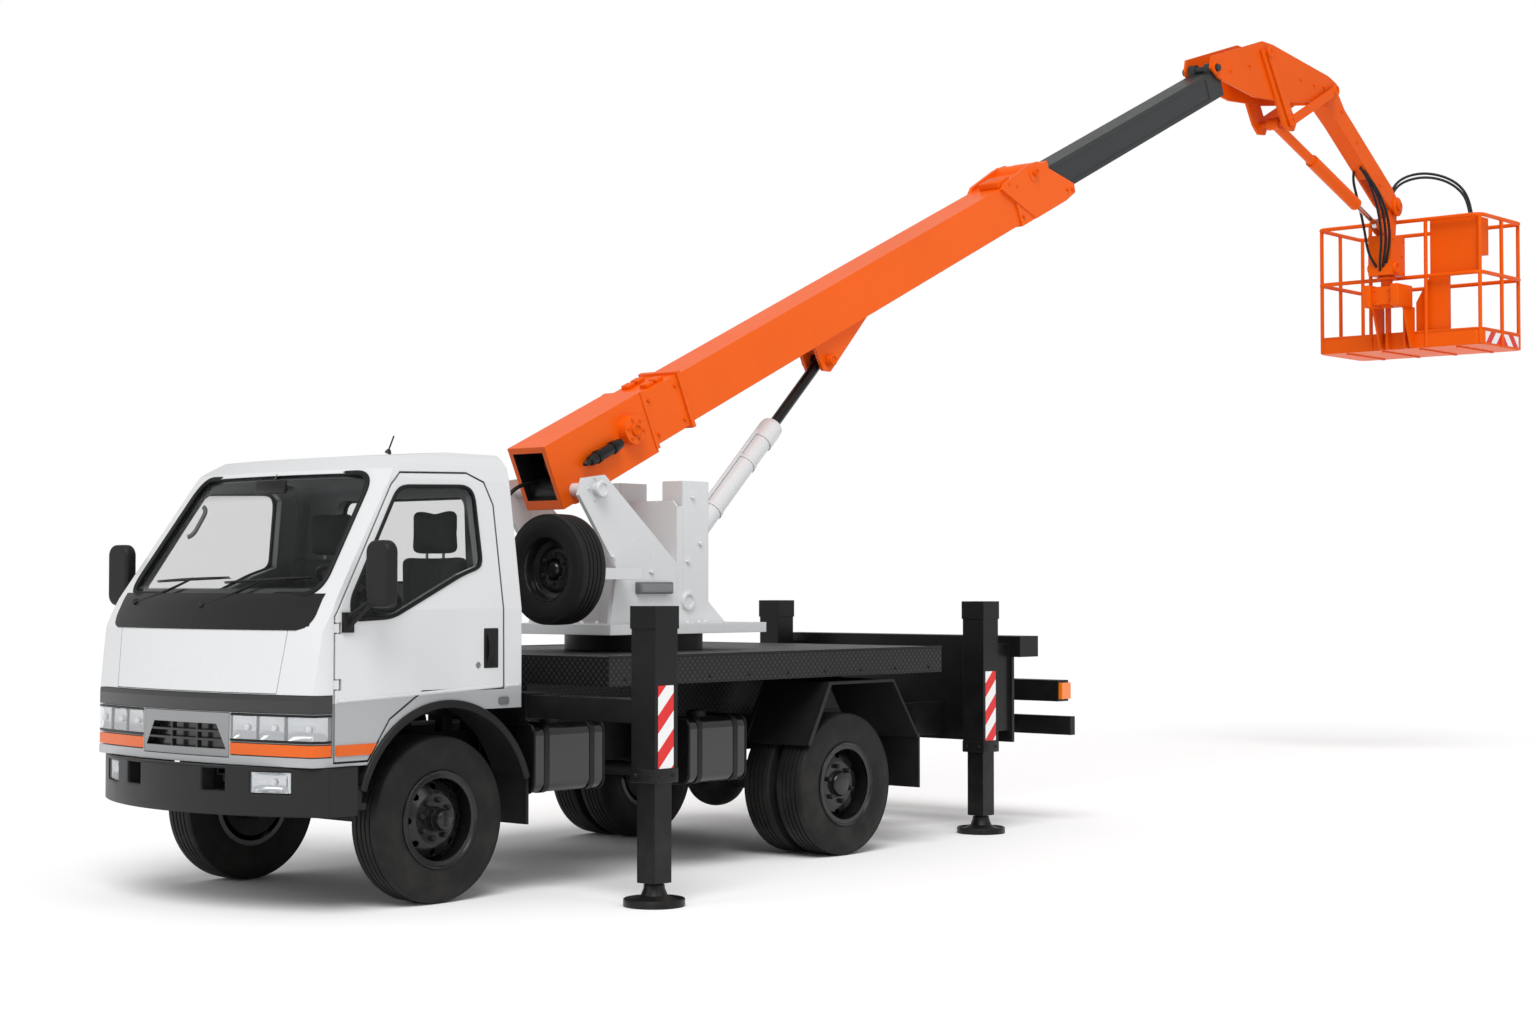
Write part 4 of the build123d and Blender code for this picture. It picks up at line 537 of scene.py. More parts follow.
CAST = Finish(
    "cast_iron", (0.022, 0.022, 0.023), 0.55, metallic=0.4, mottle=0.18, grain_scale=140, grain=0.0006,
    dust=0.1, specular=0.3
)
RUBBER = Finish(
    "hose_rubber", (0.006, 0.006, 0.006), 0.40, mottle=0.12, grain_scale=700, grain=0.0002, edge=0.002,
    specular=0.30
)
SEAL = Finish(
    "seal_rubber", (0.006, 0.006, 0.0065), 0.50, mottle=0.08, grain_scale=700, grain=0.0001, edge=0.002,
    specular=0.22
)
TYRE = Tread(
    "tyre_rubber", (0.011, 0.011, 0.011), 0.60, mottle=0.16, grain_scale=420, grain=0.0002, edge=0.003,
    dust=0.06, specular=0.22
)
GLASS = Finish(
    "tinted_glass", (0.030, 0.036, 0.036), 0.06, coat=0.3, mottle=0.05, grain=0.0, edge=0.001, alpha=0.13
)
SCREEN = ScreenGlass(
    "screen_glass", (0.020, 0.024, 0.024), 0.06, coat=0.3, mottle=0.05, grain=0.0, edge=0.001, alpha=0.09
)
CLEAR = Lens("clear_lens", (0.72, 0.75, 0.77), 0.07, coat=1.0, mottle=0.02, edge=0.002, alpha=0.16, glow=0.0)
AMBER = Lens("amber_lens", (0.74, 0.115, 0.001), 0.18, coat=0.2, mottle=0.06, edge=0.002, specular=0.3)
# Painted light: the red lens has a faint glow of its own (glow 0.06), which the stop button shares.
RED = TailLens("tail_lens", (0.40, 0.010, 0.008), 0.16, coat=0.6, mottle=0.06, edge=0.002, glow=0.06)
BOWL = Finish(
    "lamp_reflector", (0.62, 0.63, 0.65), 0.10, metallic=1.0, mottle=0.03, grain=0.00005, edge=0.001
)
MIRROR = Finish("mirror_glass", (0.72, 0.75, 0.77), 0.07, metallic=1.0, mottle=0.02, grain=0.0, edge=0.001)
STRIPES = {
    Side.LEFT: Stripes("stripes_left", (0.82, 0.82, 0.82), 0.35, mottle=0.03, edge=0.001),
    Side.RIGHT: Stripes("stripes_right", (0.82, 0.82, 0.82), 0.35, mottle=0.03, edge=0.001, lean=-1.0),
}
CHEVRONS = Chevrons("basket_chevrons", (0.82, 0.82, 0.82), 0.35, mottle=0.03, edge=0.001)
CLOTH = Cloth("seat_cloth", (0.030, 0.031, 0.034), 0.85, mottle=0.12, edge=0.004)

CAD_FINISHES: dict[Finish, tuple[str, ...]] = {
    CAB: ("cab_shell", "door_left", "door_right"),
    WHITE: ("front_panel", "turret", "lift_barrel"),
    BOOM: ("outer_boom",),
    ORANGE: ("jib_head", "jib_arm", "level_barrel", "basket_mount", "basket", "control_console"),
    BOOM_GREY: ("inner_boom",),
    BLACK: ("outrigger_sleeve", "outrigger_beam_left", "outrigger_beam_right", "front_jack_left",
    "front_jack_right",
            "rear_jack_left", "rear_jack_right", "rear_outrigger_frame", "tail_bar", "slew_ring"),
    CHASSIS: ("chassis_frame",),
    DECK: ("deck",),
    BUMPER: ("bumper",),
    PLASTIC: ("front_mudguards", "rear_mudguards", "mirror_left", "mirror_right"),
    SATIN: ("wiper_cowl", "lift_rod"),
    TANK: ("side_tanks",),
    GREY: ("dashboard",),
    GRILLE: ("grille",),
    RIM: ("front_rim_left", "front_rim_right", "rear_rims_left", "rear_rims_right"),
    CHROME: ("level_rod",),
    CAST: ("engine_block", "front_axle", "rear_axle", "steering_knuckle_left", "steering_knuckle_right"),
    SCREEN: ("cab_glass",),
    GLASS: ("door_glass_left", "door_glass_right"),
    RED: ("tail_lamps",),
}


# Surfaces


@dataclass
class Shape:
    """A mesh before Blender has it: points in metres from the front axle, and faces of point numbers."""

    points: Array
    faces: list[list[int]]
    turn: Array | None = None

    def __add__(self, other: Shape) -> Shape:
        """Both shapes as one mesh."""
        shift = len(self.points)
        faces = self.faces + [[i + shift for i in face] for face in other.faces]
        return Shape(np.vstack((self.points, other.points)), faces)

    def mirrored(self) -> Shape:
        """The shape on the truck's other side."""
        return Shape(self.points * np.array((1, -1, 1)), self.faces, self.turn)

    def on(self, side: Side) -> Shape:
        """A left-hand shape as it is on that side."""
        return self if side is Side.LEFT else self.mirrored()

    def pair(self) -> Shape:
        """A left-hand shape and its mirror image."""
        return self + self.mirrored()

    def build(
        self, name: str, finish: Finish, body: str | None, slot: str, sharp: float = 38.0
    ) -> bpy.types.Object:
        """Puts the shape into Blender.

        Args:
            name: the piece's name.
            finish: its surface.
            body: the body that it rides on, or None where the caller attaches it or leaves it free.
            slot: a material slot name; not used.
            sharp: the angle in degrees past which an edge stays sharp.

        Returns:
            The object.
        """
        mesh = bpy.data.meshes.new(name)
        mesh.from_pydata(self.points + np.array((AXLE_X, 0, 0)), [], self.faces)
        if self.turn is not None:
            mesh.uv_layers.new(name="turn").data.foreach_set("uv", self.turn.ravel())
        work = bmesh.new()
        work.from_mesh(mesh)
        bmesh.ops.remove_doubles(work, verts=work.verts, dist=1e-6)
        bmesh.ops.recalc_face_normals(work, faces=work.faces)
        work.to_mesh(mesh)
        work.free()
        mesh.polygons.foreach_set("use_smooth", np.ones(len(mesh.polygons), bool))
        mesh.set_sharp_from_angle(angle=math.radians(sharp))
        mesh.materials.append(finish.material())
        piece = bpy.data.objects.new(name, mesh)
        bpy.context.scene.collection.objects.link(piece)
        if body:
            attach(piece, body)
        LOG.info("%s: %d faces", name, len(mesh.polygons))
        return piece


def joined(shapes: list[Shape]) -> Shape:
    """Several shapes as one mesh."""
    return sum(shapes[1:], shapes[0])


def skin(rows: Array, close_rows: bool = False, close_columns: bool = False, cap: bool = False) -> Shape:
    """Four-sided faces over a grid of points.

    Args:
        rows: the points, by row and column.
        close_rows: the last row joins the first.
        close_columns: the last column joins the first.
        cap: the first and last rows become faces.

    Returns:
        The surface, with point (i, j) of the grid joined to its next row and column.
    """
    count, width = rows.shape[:2]
    i = np.arange(count if close_rows else count - 1)[:, None]
    j = np.arange(width if close_columns else width - 1)[None, :]
    down, right = (i + 1) % count, (j + 1) % width
    corners = np.stack(
        np.broadcast_arrays(i * width + j, i * width + right, down * width + right, down * width + j), -1
    )
    faces = corners.reshape(-1, 4).tolist()
    if cap:
        faces += [list(range(width))[::-1], list(range((count - 1) * width, count * width))]
    return Shape(rows.reshape(-1, 3), faces)


def circle(radius: float, sides: int = 12, flat: float = 1.0) -> Array:
    """A round section, flattened in its second direction by that share."""
    angle = np.arange(sides) * 2 * math.pi / sides
    return np.stack((radius * np.cos(angle), radius * flat * np.sin(angle)), -1)


def bar(width: float, thick: float, round_by: float = 0.3) -> Array:
    """A flat section with its four corners cut at 45 degrees by a share of its thickness."""
    w, t, c = width / 2, thick / 2, thick * round_by
    return np.array(
        [(w, c - t), (w, t - c), (w - c, t), (c - w, t), (-w, t - c), (-w, c - t), (c - w, -t), (w - c, -t)]
    )


def sweep(
    path: Array, section: Array, across: Point | None = None, closed: bool = False,
    grow: Array | None = None
) -> Shape:
    """Carries a section along a path.

    Args:
        path: the points of the path.
        section: the section's points, as distances across the path and square to that.
        across: the section's first direction, or None for the path's own flattest direction.
        closed: the path ends where it starts.
        grow: a size for the section at each point of the path.

    Returns:
        The surface p + s a + t (T x a),
        with T the path's direction and a the part of across that is square to T.
    """
    path = np.asarray(path, float)
    ahead = np.roll(path, -1, 0) - np.roll(path, 1, 0) if closed else np.gradient(path, axis=0)
    ahead /= np.linalg.norm(ahead, axis=1, keepdims=True)
    if across is None:
        across = np.linalg.svd(path - path.mean(0))[2][-1]
    side = np.asarray(across) - (ahead @ np.asarray(across))[:, None] * ahead
    side /= np.linalg.norm(side, axis=1, keepdims=True)
    up = np.cross(ahead, side)
    size = np.ones(len(path)) if grow is None else np.asarray(grow)
    spread = side[:, None] * section[None, :, :1] + up[:, None] * section[None, :, 1:]
    return skin(path[:, None] + spread * size[:, None, None], closed, True, not closed)


def turned(profile: Array, centre: Point, axis: Point, steps: int = 48, closed: bool = False) -> Shape:
    """A profile of (distance along the axis, radius) rows turned about an axis.

    Args:
        profile: the rows.
        centre: the point that the distances count from.
        axis: the direction of the axis.
        steps: how many stations the turn has.
        closed: the profile's end joins its start.

    Returns:
        The surface c + d a + r (cos t e + sin t f), with e and f square to the axis a.
    """
    profile = np.asarray(profile, float)
    a = np.asarray(axis, float) / np.linalg.norm(axis)
    e = np.cross(a, (0, 0, 1) if abs(a[2]) < 0.9 else (1, 0, 0))
    e /= np.linalg.norm(e)
    f = np.cross(a, e)
    angle = np.arange(steps) * 2 * math.pi / steps
    spoke = np.cos(angle)[:, None] * e + np.sin(angle)[:, None] * f
    rows = np.asarray(centre) + profile[:, None, :1] * a + profile[:, None, 1:] * spoke[None]
    return skin(rows, closed, True, not closed)


def plate(outline: Array, plane: str, low: float, high: float) -> Shape:
    """An outline in the plane "xz", "yz" or "xy", as thick as from low to high along the third axis."""
    first, second = ("xyz".index(letter) for letter in plane)
    rows = np.zeros((2, len(outline), 3))
    rows[..., first], rows[..., second] = np.asarray(outline).T
    rows[..., 3 - first - second] = np.array((low, high))[:, None]
    return skin(rows, False, True, True)


def rounded(outline: Array, radius: float, steps: int = 6) -> Array:
    """An outline with each corner p between neighbours q and r turned into the curve from p + (q - p) t to
    p + (r - p) t."""
    p = np.asarray(outline, float)
    reach = []
    for other in (np.roll(p, 1, 0), np.roll(p, -1, 0)):
        edge = other - p
        length = np.linalg.norm(edge, axis=1, keepdims=True)
        reach.append(p + edge / length * np.minimum(radius, 0.48 * length))
    s = np.linspace(0, 1, steps)[None, :, None]
    curve = (1 - s) ** 2 * reach[0][:, None] + 2 * s * (1 - s) * p[:, None] + s**2 * reach[1][:, None]
    return curve.reshape(-1, p.shape[1])


def rectangle(x: tuple[float, float], y: tuple[float, float]) -> Array:
    """A rectangle's four corners."""
    return np.array([(x[0], y[0]), (x[1], y[0]), (x[1], y[1]), (x[0], y[1])])


def rounded_box(low: Point, high: Point, radius: float, steps: int = 4) -> Shape:
    """A box with round edges: an eighth of a ball, r n, set out from each corner of a box that is r smaller
    all round."""
    low, high = np.asarray(low, float), np.asarray(high, float)
    middle, half = (low + high) / 2, (high - low) / 2 - radius
    quarter = np.linspace(0, math.pi / 2, steps)
    turn = (np.arange(4)[:, None] * math.pi / 2 + quarter).ravel()
    sx = np.repeat((1, -1, -1, 1), steps)
    sy = np.repeat((1, 1, -1, -1), steps)
    rise = np.concatenate((quarter - math.pi / 2, quarter))
    sz = np.repeat((-1, 1), steps)
    ring = np.stack((np.outer(np.cos(rise), np.cos(turn)), np.outer(np.cos(rise), np.sin(turn)),
                     np.outer(np.sin(rise), np.ones_like(turn))), -1)
    corner = np.stack(np.broadcast_arrays(sx[None] * half[0], sy[None] * half[1], sz[:, None] * half[2]), -1)
    return skin(middle + corner + ring * radius, False, True, True)


def studs(centres: Array, axis: Point, radius: float, height: float, sides: int = 6) -> Shape:
    """Bolt heads: at each centre a short prism with a bevelled rim, made all at once."""
    head = turned(
        ((-0.001, radius), (height * 0.75, radius), (height, radius * 0.82)), (0, 0, 0), axis, sides
    )
    centres = np.asarray(centres, float).reshape(-1, 1, 3)
    points = (centres + head.points).reshape(-1, 3)
    count = len(head.points)
    return Shape(points, [[i + k * count for i in face] for k in range(len(centres)) for face in head.faces])


def ring_of(centre: Point, radius: float, count: int, plane: str, start: float = 0.0) -> Array:
    """Points evenly round a circle in a plane."""
    angle = start + np.arange(count) * 2 * math.pi / count
    points = np.tile(np.asarray(centre, float), (count, 1))
    points[:, "xyz".index(plane[0])] += radius * np.cos(angle)
    points[:, "xyz".index(plane[1])] += radius * np.sin(angle)
    return points


def along(start: Point, end: Point, count: int = 12, bow: Point = (0, 0, 0)) -> Array:
    """A line from start to end that bows out by the vector bow in its middle, as 4 s (1 - s)."""
    s = np.linspace(0, 1, count)[:, None]
    return np.asarray(start) * (1 - s) + np.asarray(end) * s + 4 * s * (1 - s) * np.asarray(bow)


def pin_cap(centre: Point, axis: Point, radius: float, height: float = 0.014) -> Shape:
    """A turned pin end with a raised rim and a hollow middle."""
    rows = ((-0.004, radius), (height * 0.7, radius), (height, radius * 0.9), (height, radius * 0.62),
            (height * 0.55, radius * 0.56), (height * 0.55, radius * 0.2))
    return turned(rows, centre, axis, 32)


# Hoses


@dataclass(frozen=True)
class Hose:
    """A free hose between two bodies that one joint joins."""

    name: str
    first: str
    second: str
    route: tuple[Point, ...]
    diameter: float = 0.022
    blend_from: int = 1
    blend_to: int = -2

    def build(self) -> bpy.types.Object:
        """A tube along the smooth spline of the route, from one body to the other: held by that body when both
        are one, else left free.

        Returns:
            The hose.
        """
        curve = bpy.data.curves.new(self.name, "CURVE")
        curve.dimensions = "3D"
        curve.resolution_u = 14
        spline = curve.splines.new("NURBS")
        spline.points.add(len(self.route) - 1)
        spline.points.foreach_set("co", np.c_[np.array(self.route), np.ones(len(self.route))].ravel())
        spline.order_u = 3
        spline.use_endpoint_u = True
        holder = bpy.data.objects.new(self.name + ".route", curve)
        line = bpy.data.meshes.new_from_object(holder)
        path = np.zeros(len(line.vertices) * 3)
        line.vertices.foreach_get("co", path)
        path = path.reshape(-1, 3)
        bpy.data.objects.remove(holder)
        bpy.data.meshes.remove(line)
        hose = sweep(path, circle(self.diameter / 2, 12)).build(self.name, RUBBER, None, "black_plastic")
        if self.first == self.second:
            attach(hose, self.first)
        else:
            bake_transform(hose)
        return hose


HOSES = (
    Hose("basket_hose_1", "mount", "work_basket",
         ((-11.245, 0.012, 4.705), (-11.27, 0.02, 4.79), (-11.36, 0.08, 4.88), (-11.48, 0.20, 4.92),
         (-11.57, 0.34, 4.89),
          (-11.62, 0.46, 4.80), (-11.625, 0.53, 4.68), (-11.60, 0.56, 4.54))),
    Hose("basket_hose_2", "mount", "work_basket",
         ((-11.245, -0.014, 4.705), (-11.28, 0.0, 4.80), (-11.37, 0.05, 4.91), (-11.50, 0.17, 4.96),
         (-11.60, 0.32, 4.93),
          (-11.655, 0.45, 4.84), (-11.66, 0.53, 4.70), (-11.63, 0.565, 4.54))),
    Hose("jib_hose_1", "jib", "mount",
         ((-10.70, 0.045, 4.885), (-10.74, 0.075, 4.83), (-10.84, 0.092, 4.71), (-10.93, 0.098, 4.57),
         (-10.985, 0.095, 4.43),
          (-11.005, 0.085, 4.30), (-11.02, 0.06, 4.20), (-11.067, 0.03, 4.13))),
    Hose("jib_hose_2", "jib", "mount",
         ((-10.74, 0.045, 4.86), (-10.79, 0.08, 4.80), (-10.88, 0.105, 4.69), (-10.965, 0.118, 4.56),
         (-11.012, 0.118, 4.43),
          (-11.028, 0.108, 4.31), (-11.035, 0.085, 4.22), (-11.067, 0.058, 4.16))),
    Hose("jib_hose_3", "jib", "mount",
         ((-10.66, 0.03, 4.91), (-10.69, 0.06, 4.86), (-10.79, 0.074, 4.74), (-10.885, 0.078, 4.58),
         (-10.945, 0.072, 4.43),
          (-10.975, 0.06, 4.29), (-10.995, 0.035, 4.18), (-11.067, 0.0, 4.10))),
    Hose("jib_hose_4", "jib", "mount",
         ((-10.70, -0.045, 4.885), (-10.74, -0.075, 4.83), (-10.84, -0.092, 4.71), (-10.93, -0.098, 4.57),
         (-10.985, -0.095, 4.43),
          (-11.005, -0.085, 4.30), (-11.02, -0.06, 4.20), (-11.067, -0.03, 4.13))),
    Hose("boom_loop_1", "boom", "boom",
         ((-1.895, 0.05, 2.140), (-1.814, 0.05, 2.128), (-1.669, 0.045, 2.086), (-1.538, 0.04, 2.036),
         (-1.435, 0.035, 2.044),
          (-1.406, 0.03, 2.108), (-1.467, 0.03, 2.191), (-1.588, 0.03, 2.263), (-1.711, 0.03, 2.330),
          (-1.775, 0.03, 2.384))),
    Hose("boom_loop_2", "boom", "boom",
         ((-1.935, -0.045, 2.159), (-1.854, -0.045, 2.147), (-1.709, -0.04, 2.104), (-1.578, -0.035, 2.054),
         (-1.475, -0.03, 2.062),
          (-1.446, -0.03, 2.126), (-1.507, -0.03, 2.209), (-1.628, -0.03, 2.281), (-1.751, -0.03, 2.348),
          (-1.815, -0.03, 2.403))),
    Hose("boom_hose", "turret", "boom",
         ((-1.53, -0.12, 1.262), (-1.50, -0.12, 1.36), (-1.40, -0.12, 1.46), (-1.28, -0.12, 1.56), (-1.20,
         -0.115, 1.69),
          (-1.18, -0.10, 1.83), (-1.23, -0.08, 1.95), (-1.33, -0.07, 2.01), (-1.43, -0.065, 2.02))),
)


# Cab


@dataclass
class Cab:
    """The cab's outside: the shape of its front and sides, its seals, wipers, lamps and small fittings."""

    bow_centre: float = -2.6
    front_z: tuple[float, ...] = (0.668, 0.960, 1.270, 1.405, 2.008, 2.076, 2.098)
    front_at: tuple[float, ...] = (0.862, 0.858, 0.820, 0.752, 0.338, 0.215, -0.06)
    corner_centre: tuple[float, float] = (0.6736, 0.6485)
    corner_radius: float = 0.1820
    side_z: tuple[float, ...] = (0.668, 1.36, 1.965, 2.032, 2.076)
    side_at: tuple[float, ...] = (0.83, 0.83, 0.742, 0.722, 0.680)
    screen: tuple[tuple[float, float], ...] = (
        (-0.720, 1.428), (0.720, 1.428), (0.636, 1.988), (-0.636, 1.988)
    )
    back_window: tuple[tuple[float, float], ...] = ((-0.5, 1.48), (0.5, 1.48), (0.48, 1.90), (-0.48, 1.90))
    back_x: float = -0.470
    wrap_from: tuple[float, float] = (0.50, 0.40)
    wrap_turn: tuple[float, float] = (math.radians(-11.8), math.radians(68.0))
    lamp_z: tuple[float, float] = (0.777, 0.895)
    marker_z: tuple[float, float] = (0.714, 0.765)
    cells: tuple[tuple[float, float], ...] = ((0.010, 0.170), (0.176, 0.336), (0.342, 0.560))
    cowl_z: tuple[float, float] = (1.270, 1.434)
    cowl_half: float = 0.752
    cowl_corner: float = 0.075
    wheel_at: Point = (0.160, 0.390, 1.455)
    wheel_axis: Point = (-0.5, 0.0, 0.866)
    wheel_radius: float = 0.205
    bumper_front: float = 0.945
    bumper_radius: float = 1.597
    fog_y: tuple[float, float] = (0.502, 0.688)
    fog_z: tuple[float, float] = (0.552, 0.643)

    def front(self, y: Array, z: Array) -> Array:
        """X of the cab's front: an arc about bow_centre whose reach follows the height, cut by the round
        corner."""
        reach = np.interp(z, self.front_z, self.front_at) - self.bow_centre
        bow = self.bow_centre + np.sqrt(reach**2 - y**2)
        over = np.clip(np.abs(y) - self.corner_centre[1], 0, self.corner_radius)
        corner = np.where(np.abs(y) > self.corner_centre[1],
                          self.corner_centre[0] + np.sqrt(self.corner_radius**2 - over**2), 9.0)
        return np.minimum(bow, corner)

    def side(self, z: Array) -> Array:
        """Y of the left side at a height."""
        return np.interp(z, self.side_z, self.side_at)

    def wrap(self, z: Array, count: int = 90) -> Array:
        """The lamps' line in plan, from beside the grille round the corner to the door.

        Args:
            z: the heights.
            count: how many points each height gets.

        Returns:
            Points (x, y) by height and place: on each ray from wrap_from,
            the nearest of the bow's arc, the corner's arc,
            where the ray meets it in its outer quarter, and the flat side.
        """
        turn = np.linspace(*self.wrap_turn, count)
        ray = np.stack((np.cos(turn), np.sin(turn)), -1)
        reach = [
            np.full((len(z), count), (self.side_at[0] - self.wrap_from[1])) / np.maximum(ray[:, 1], 1e-6)
        ]
        reach[0] = np.where(ray[:, 1] > 1e-6, reach[0], 9.0)
        bow = np.interp(z, self.front_z, self.front_at) - self.bow_centre
        for centre, radius in (
            ((self.bow_centre, 0.0), bow[:, None]), (self.corner_centre, self.corner_radius)
        ):
            away = np.array(self.wrap_from) - np.array(centre)
            along_ray = ray @ away
            root = along_ray**2 - away @ away + radius**2
            hit = np.sqrt(np.maximum(root, 0)) - along_ray
            at = np.array(self.wrap_from) + hit[..., None] * ray
            outer = (root > 0) & (np.all(at > np.array(centre), -1) | (centre[1] == 0.0))
            reach.append(np.broadcast_to(np.where(outer, hit, 9.0), (len(z), count)))
        return np.array(self.wrap_from) + np.min(reach, 0)[..., None] * ray

    def bumper_line(self, z: Array, count: int = 40) -> Array:
        """The fog lamp's line in plan on the bumper's arc, at each height."""
        y = np.linspace(*self.fog_y, count)
        x = self.bumper_front - self.bumper_radius + np.sqrt(self.bumper_radius**2 - y**2)
        return np.broadcast_to(np.stack((x, y), -1), (len(z), count, 2))

    def pane(self, line: Array, z: Array, outer: Array, inner: Array) -> Shape:
        """A closed pane along a line in plan.

        Args:
            line: the line's points (x, y) at each height.
            z: the heights.
            outer: how deep its face lies behind the line, at each point.
            inner: how deep its back lies.

        Returns:
            Two grids set back square to the line, joined round their rim.
        """
        ahead = np.gradient(line, axis=1)
        ahead /= np.linalg.norm(ahead, axis=-1, keepdims=True)
        back = np.stack((-ahead[..., 1], ahead[..., 0]), -1)
        grids = []
        for depth in (outer, inner):
            plan = line + back * depth[..., None]
            grids.append(np.concatenate((plan, np.broadcast_to(z[:, None, None], plan.shape[:2] + (1,))), -1))
        rims = [np.concatenate((g[0], g[1:, -1], g[-1, -2::-1], g[-2:0:-1, 0])) for g in grids]
        return joined([skin(grids[0]), skin(grids[1]), skin(np.stack(rims), False, True)])

    def bowls(self, line: Array, z: Array, cells: tuple[tuple[float, float], ...], depth: float) -> Array:
        """Reflector depth: in each cell it swells as (1 - u^4)(1 - v^4), for u along the line and v up,
        from -1 to 1."""
        steps = np.linalg.norm(np.diff(line, axis=1), axis=-1)
        run = np.concatenate((np.zeros((len(z), 1)), np.cumsum(steps, 1)), 1)
        v = np.linspace(-1, 1, len(z))[:, None]
        total = np.full(run.shape, 0.005)
        for low, high in cells:
            u = np.clip((run - (low + high) / 2) / ((high - low) / 2), -1, 1)
            total = total + depth * (1 - u**4) * (1 - v**4)
        return total

    def lamps(self) -> None:
        """Head lamps in three cells behind a clear lens that goes round the corner, amber markers and fog
        lamps."""
        panes, bowls, bulbs = [], [], []
        fog_run = self.fog_y[1] - self.fog_y[0]
        for draw, (low, high), cells, out, depth in (
            (self.wrap, self.lamp_z, self.cells, 0.0, 0.016),
            (self.bumper_line, self.fog_z, ((0.006, fog_run),), 0.006, 0.022),
        ):
            z = np.linspace(low, high, 17)
            line = draw(z)
            sink = self.bowls(line, z, cells, depth) + out
            flat = np.full(sink.shape, out)
            panes.append(self.pane(line, z, flat, flat + 0.003))
            bowls.append(self.pane(line, z, sink, flat + depth + 0.0075))
            middle = line[8]
            run = np.concatenate(((0.0,), np.cumsum(np.linalg.norm(np.diff(middle, axis=0), axis=1))))
            for first, last in cells:
                place = [np.interp((first + last) / 2, run, middle[:, k]) for k in (0, 1)]
                bulbs.append(
                    studs(
                        [(place[0] - out - depth - 0.004, place[1], (low + high) / 2)], (1, 0, 0), 0.015,
                        0.011, 16
                    )
                )
        z = np.linspace(*self.lamp_z, 9)
        line = self.wrap(z, 180)
        run = np.cumsum(np.linalg.norm(np.diff(line[4], axis=0), axis=1))
        frames = []
        for middle in (0.005, self.cells[0][1] + 0.003, self.cells[1][1] + 0.003, run[-1] - 0.005):
            near = np.flatnonzero(np.abs(run - middle) < 0.008)
            stretch = line[:, near[0] : near[-1] + 2]
            flat = np.zeros(stretch.shape[:2])
            frames.append(self.pane(stretch, z, flat + 0.0032, flat + 0.022))
        for low, high in (
            (self.lamp_z[0] - 0.002, self.lamp_z[0] + 0.007),
            (self.lamp_z[1] - 0.007, self.lamp_z[1] + 0.002)
        ):
            z = np.linspace(low, high, 3)
            line = self.wrap(z)
            flat = np.zeros(line.shape[:2])
            frames.append(self.pane(line, z, flat - 0.0005, flat + 0.022))
        joined(frames).pair().build("lamp_frames", SATIN, "chassis", "black_plastic", 25)
        lens = joined(panes).pair().build("lamp_lenses", CLEAR, "chassis", "lamp", 25)
        joined(bowls).pair().build("lamp_reflectors", BOWL, "chassis", "lamp", 25)
        joined(bulbs).pair().build("lamp_bulbs", WHITE, "chassis", "lamp")
        z = np.linspace(*self.marker_z, 5)
        line = self.wrap(z)
        flat = np.zeros(line.shape[:2])
        self.pane(line, z, flat, flat + 0.0235).pair().build(
            "front_markers", AMBER, "chassis", "orange_paint", 25
        )
        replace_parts(lens, "front_lamps")

    def seals(self) -> None:
        """Black rubber round the windscreen and the back window."""
        screen = rounded(self.screen, 0.10, 10)
        path = np.stack((self.front(screen[:, 0], screen[:, 1]), screen[:, 0], screen[:, 1]), -1)
        front = sweep(path - (0.003, 0, 0), circle(0.014, 10, 1.0), (1, 0, 0.6), True)
        window = rounded(self.back_window, 0.07, 10)
        path = np.stack((np.full(len(window), self.back_x), window[:, 0], window[:, 1]), -1)
        back = sweep(path, circle(0.011, 8), (1, 0, 0), True)
        (front + back).build("window_seals", SEAL, "chassis", "black_plastic")

    def cowl(self) -> None:
        """The black panel from pillar to pillar under the windscreen.

        Its half width at a height is cowl_half,
        less r - sqrt(r^2 - (r - h)^2) where the height h above its foot is under
        the corner radius r.
        """
        foot, head = self.cowl_z
        z = np.linspace(foot, head, 15)
        short = np.maximum(self.cowl_corner - (z - foot), 0)
        half = self.cowl_half - self.cowl_corner + np.sqrt(self.cowl_corner**2 - short**2)
        y = half[:, None] * np.linspace(-1, 1, 60)
        level = np.broadcast_to(z[:, None], y.shape)
        grids = [np.stack((self.front(y, level) + out, y, level), -1) for out in (0.003, -0.008)]
        rims = [np.concatenate((g[0], g[1:, -1], g[-1, -2::-1], g[-2:0:-1, 0])) for g in grids]
        shape = joined([skin(grids[0]), skin(grids[1]), skin(np.stack(rims), False, True)])
        shape.build("screen_cowl", SATIN, "chassis", "black_plastic")

    def steering_wheel(self) -> None:
        """A ring with three spokes on a column that rises from the dashboard."""
        x, y, z = self.wheel_at
        axis = np.array(self.wheel_axis)
        tube = circle(0.014, 10)
        ring = turned(
            np.stack((tube[:, 0], self.wheel_radius + tube[:, 1]), -1), self.wheel_at, self.wheel_axis, 48,
            True
        )
        hub = turned(
            ((-0.034, 0.030), (-0.030, 0.050), (0.004, 0.046), (0.010, 0.036), (0.010, 0.010)),
            self.wheel_at, self.wheel_axis, 28
        )
        e = np.array((0.0, 1.0, 0.0))
        f = np.cross(axis, e)
        spokes = [
            sweep(
                along(
                    np.array((x, y, z)) + d * 0.04 - axis * 0.012,
                    np.array((x, y, z)) + d * self.wheel_radius, 6
                ),
                bar(0.030, 0.012), tuple(np.cross(axis, d))
            )
            for d in (e, -e, -f)
        ]
        column = sweep(
            along((x, y, z), tuple(np.array((x, y, z)) - axis * 0.26), 4), circle(0.030, 14), (0, 1, 0)
        )
        joined([ring, hub, *spokes, column]).build("steering_wheel", PLASTIC, "chassis", "black_plastic")

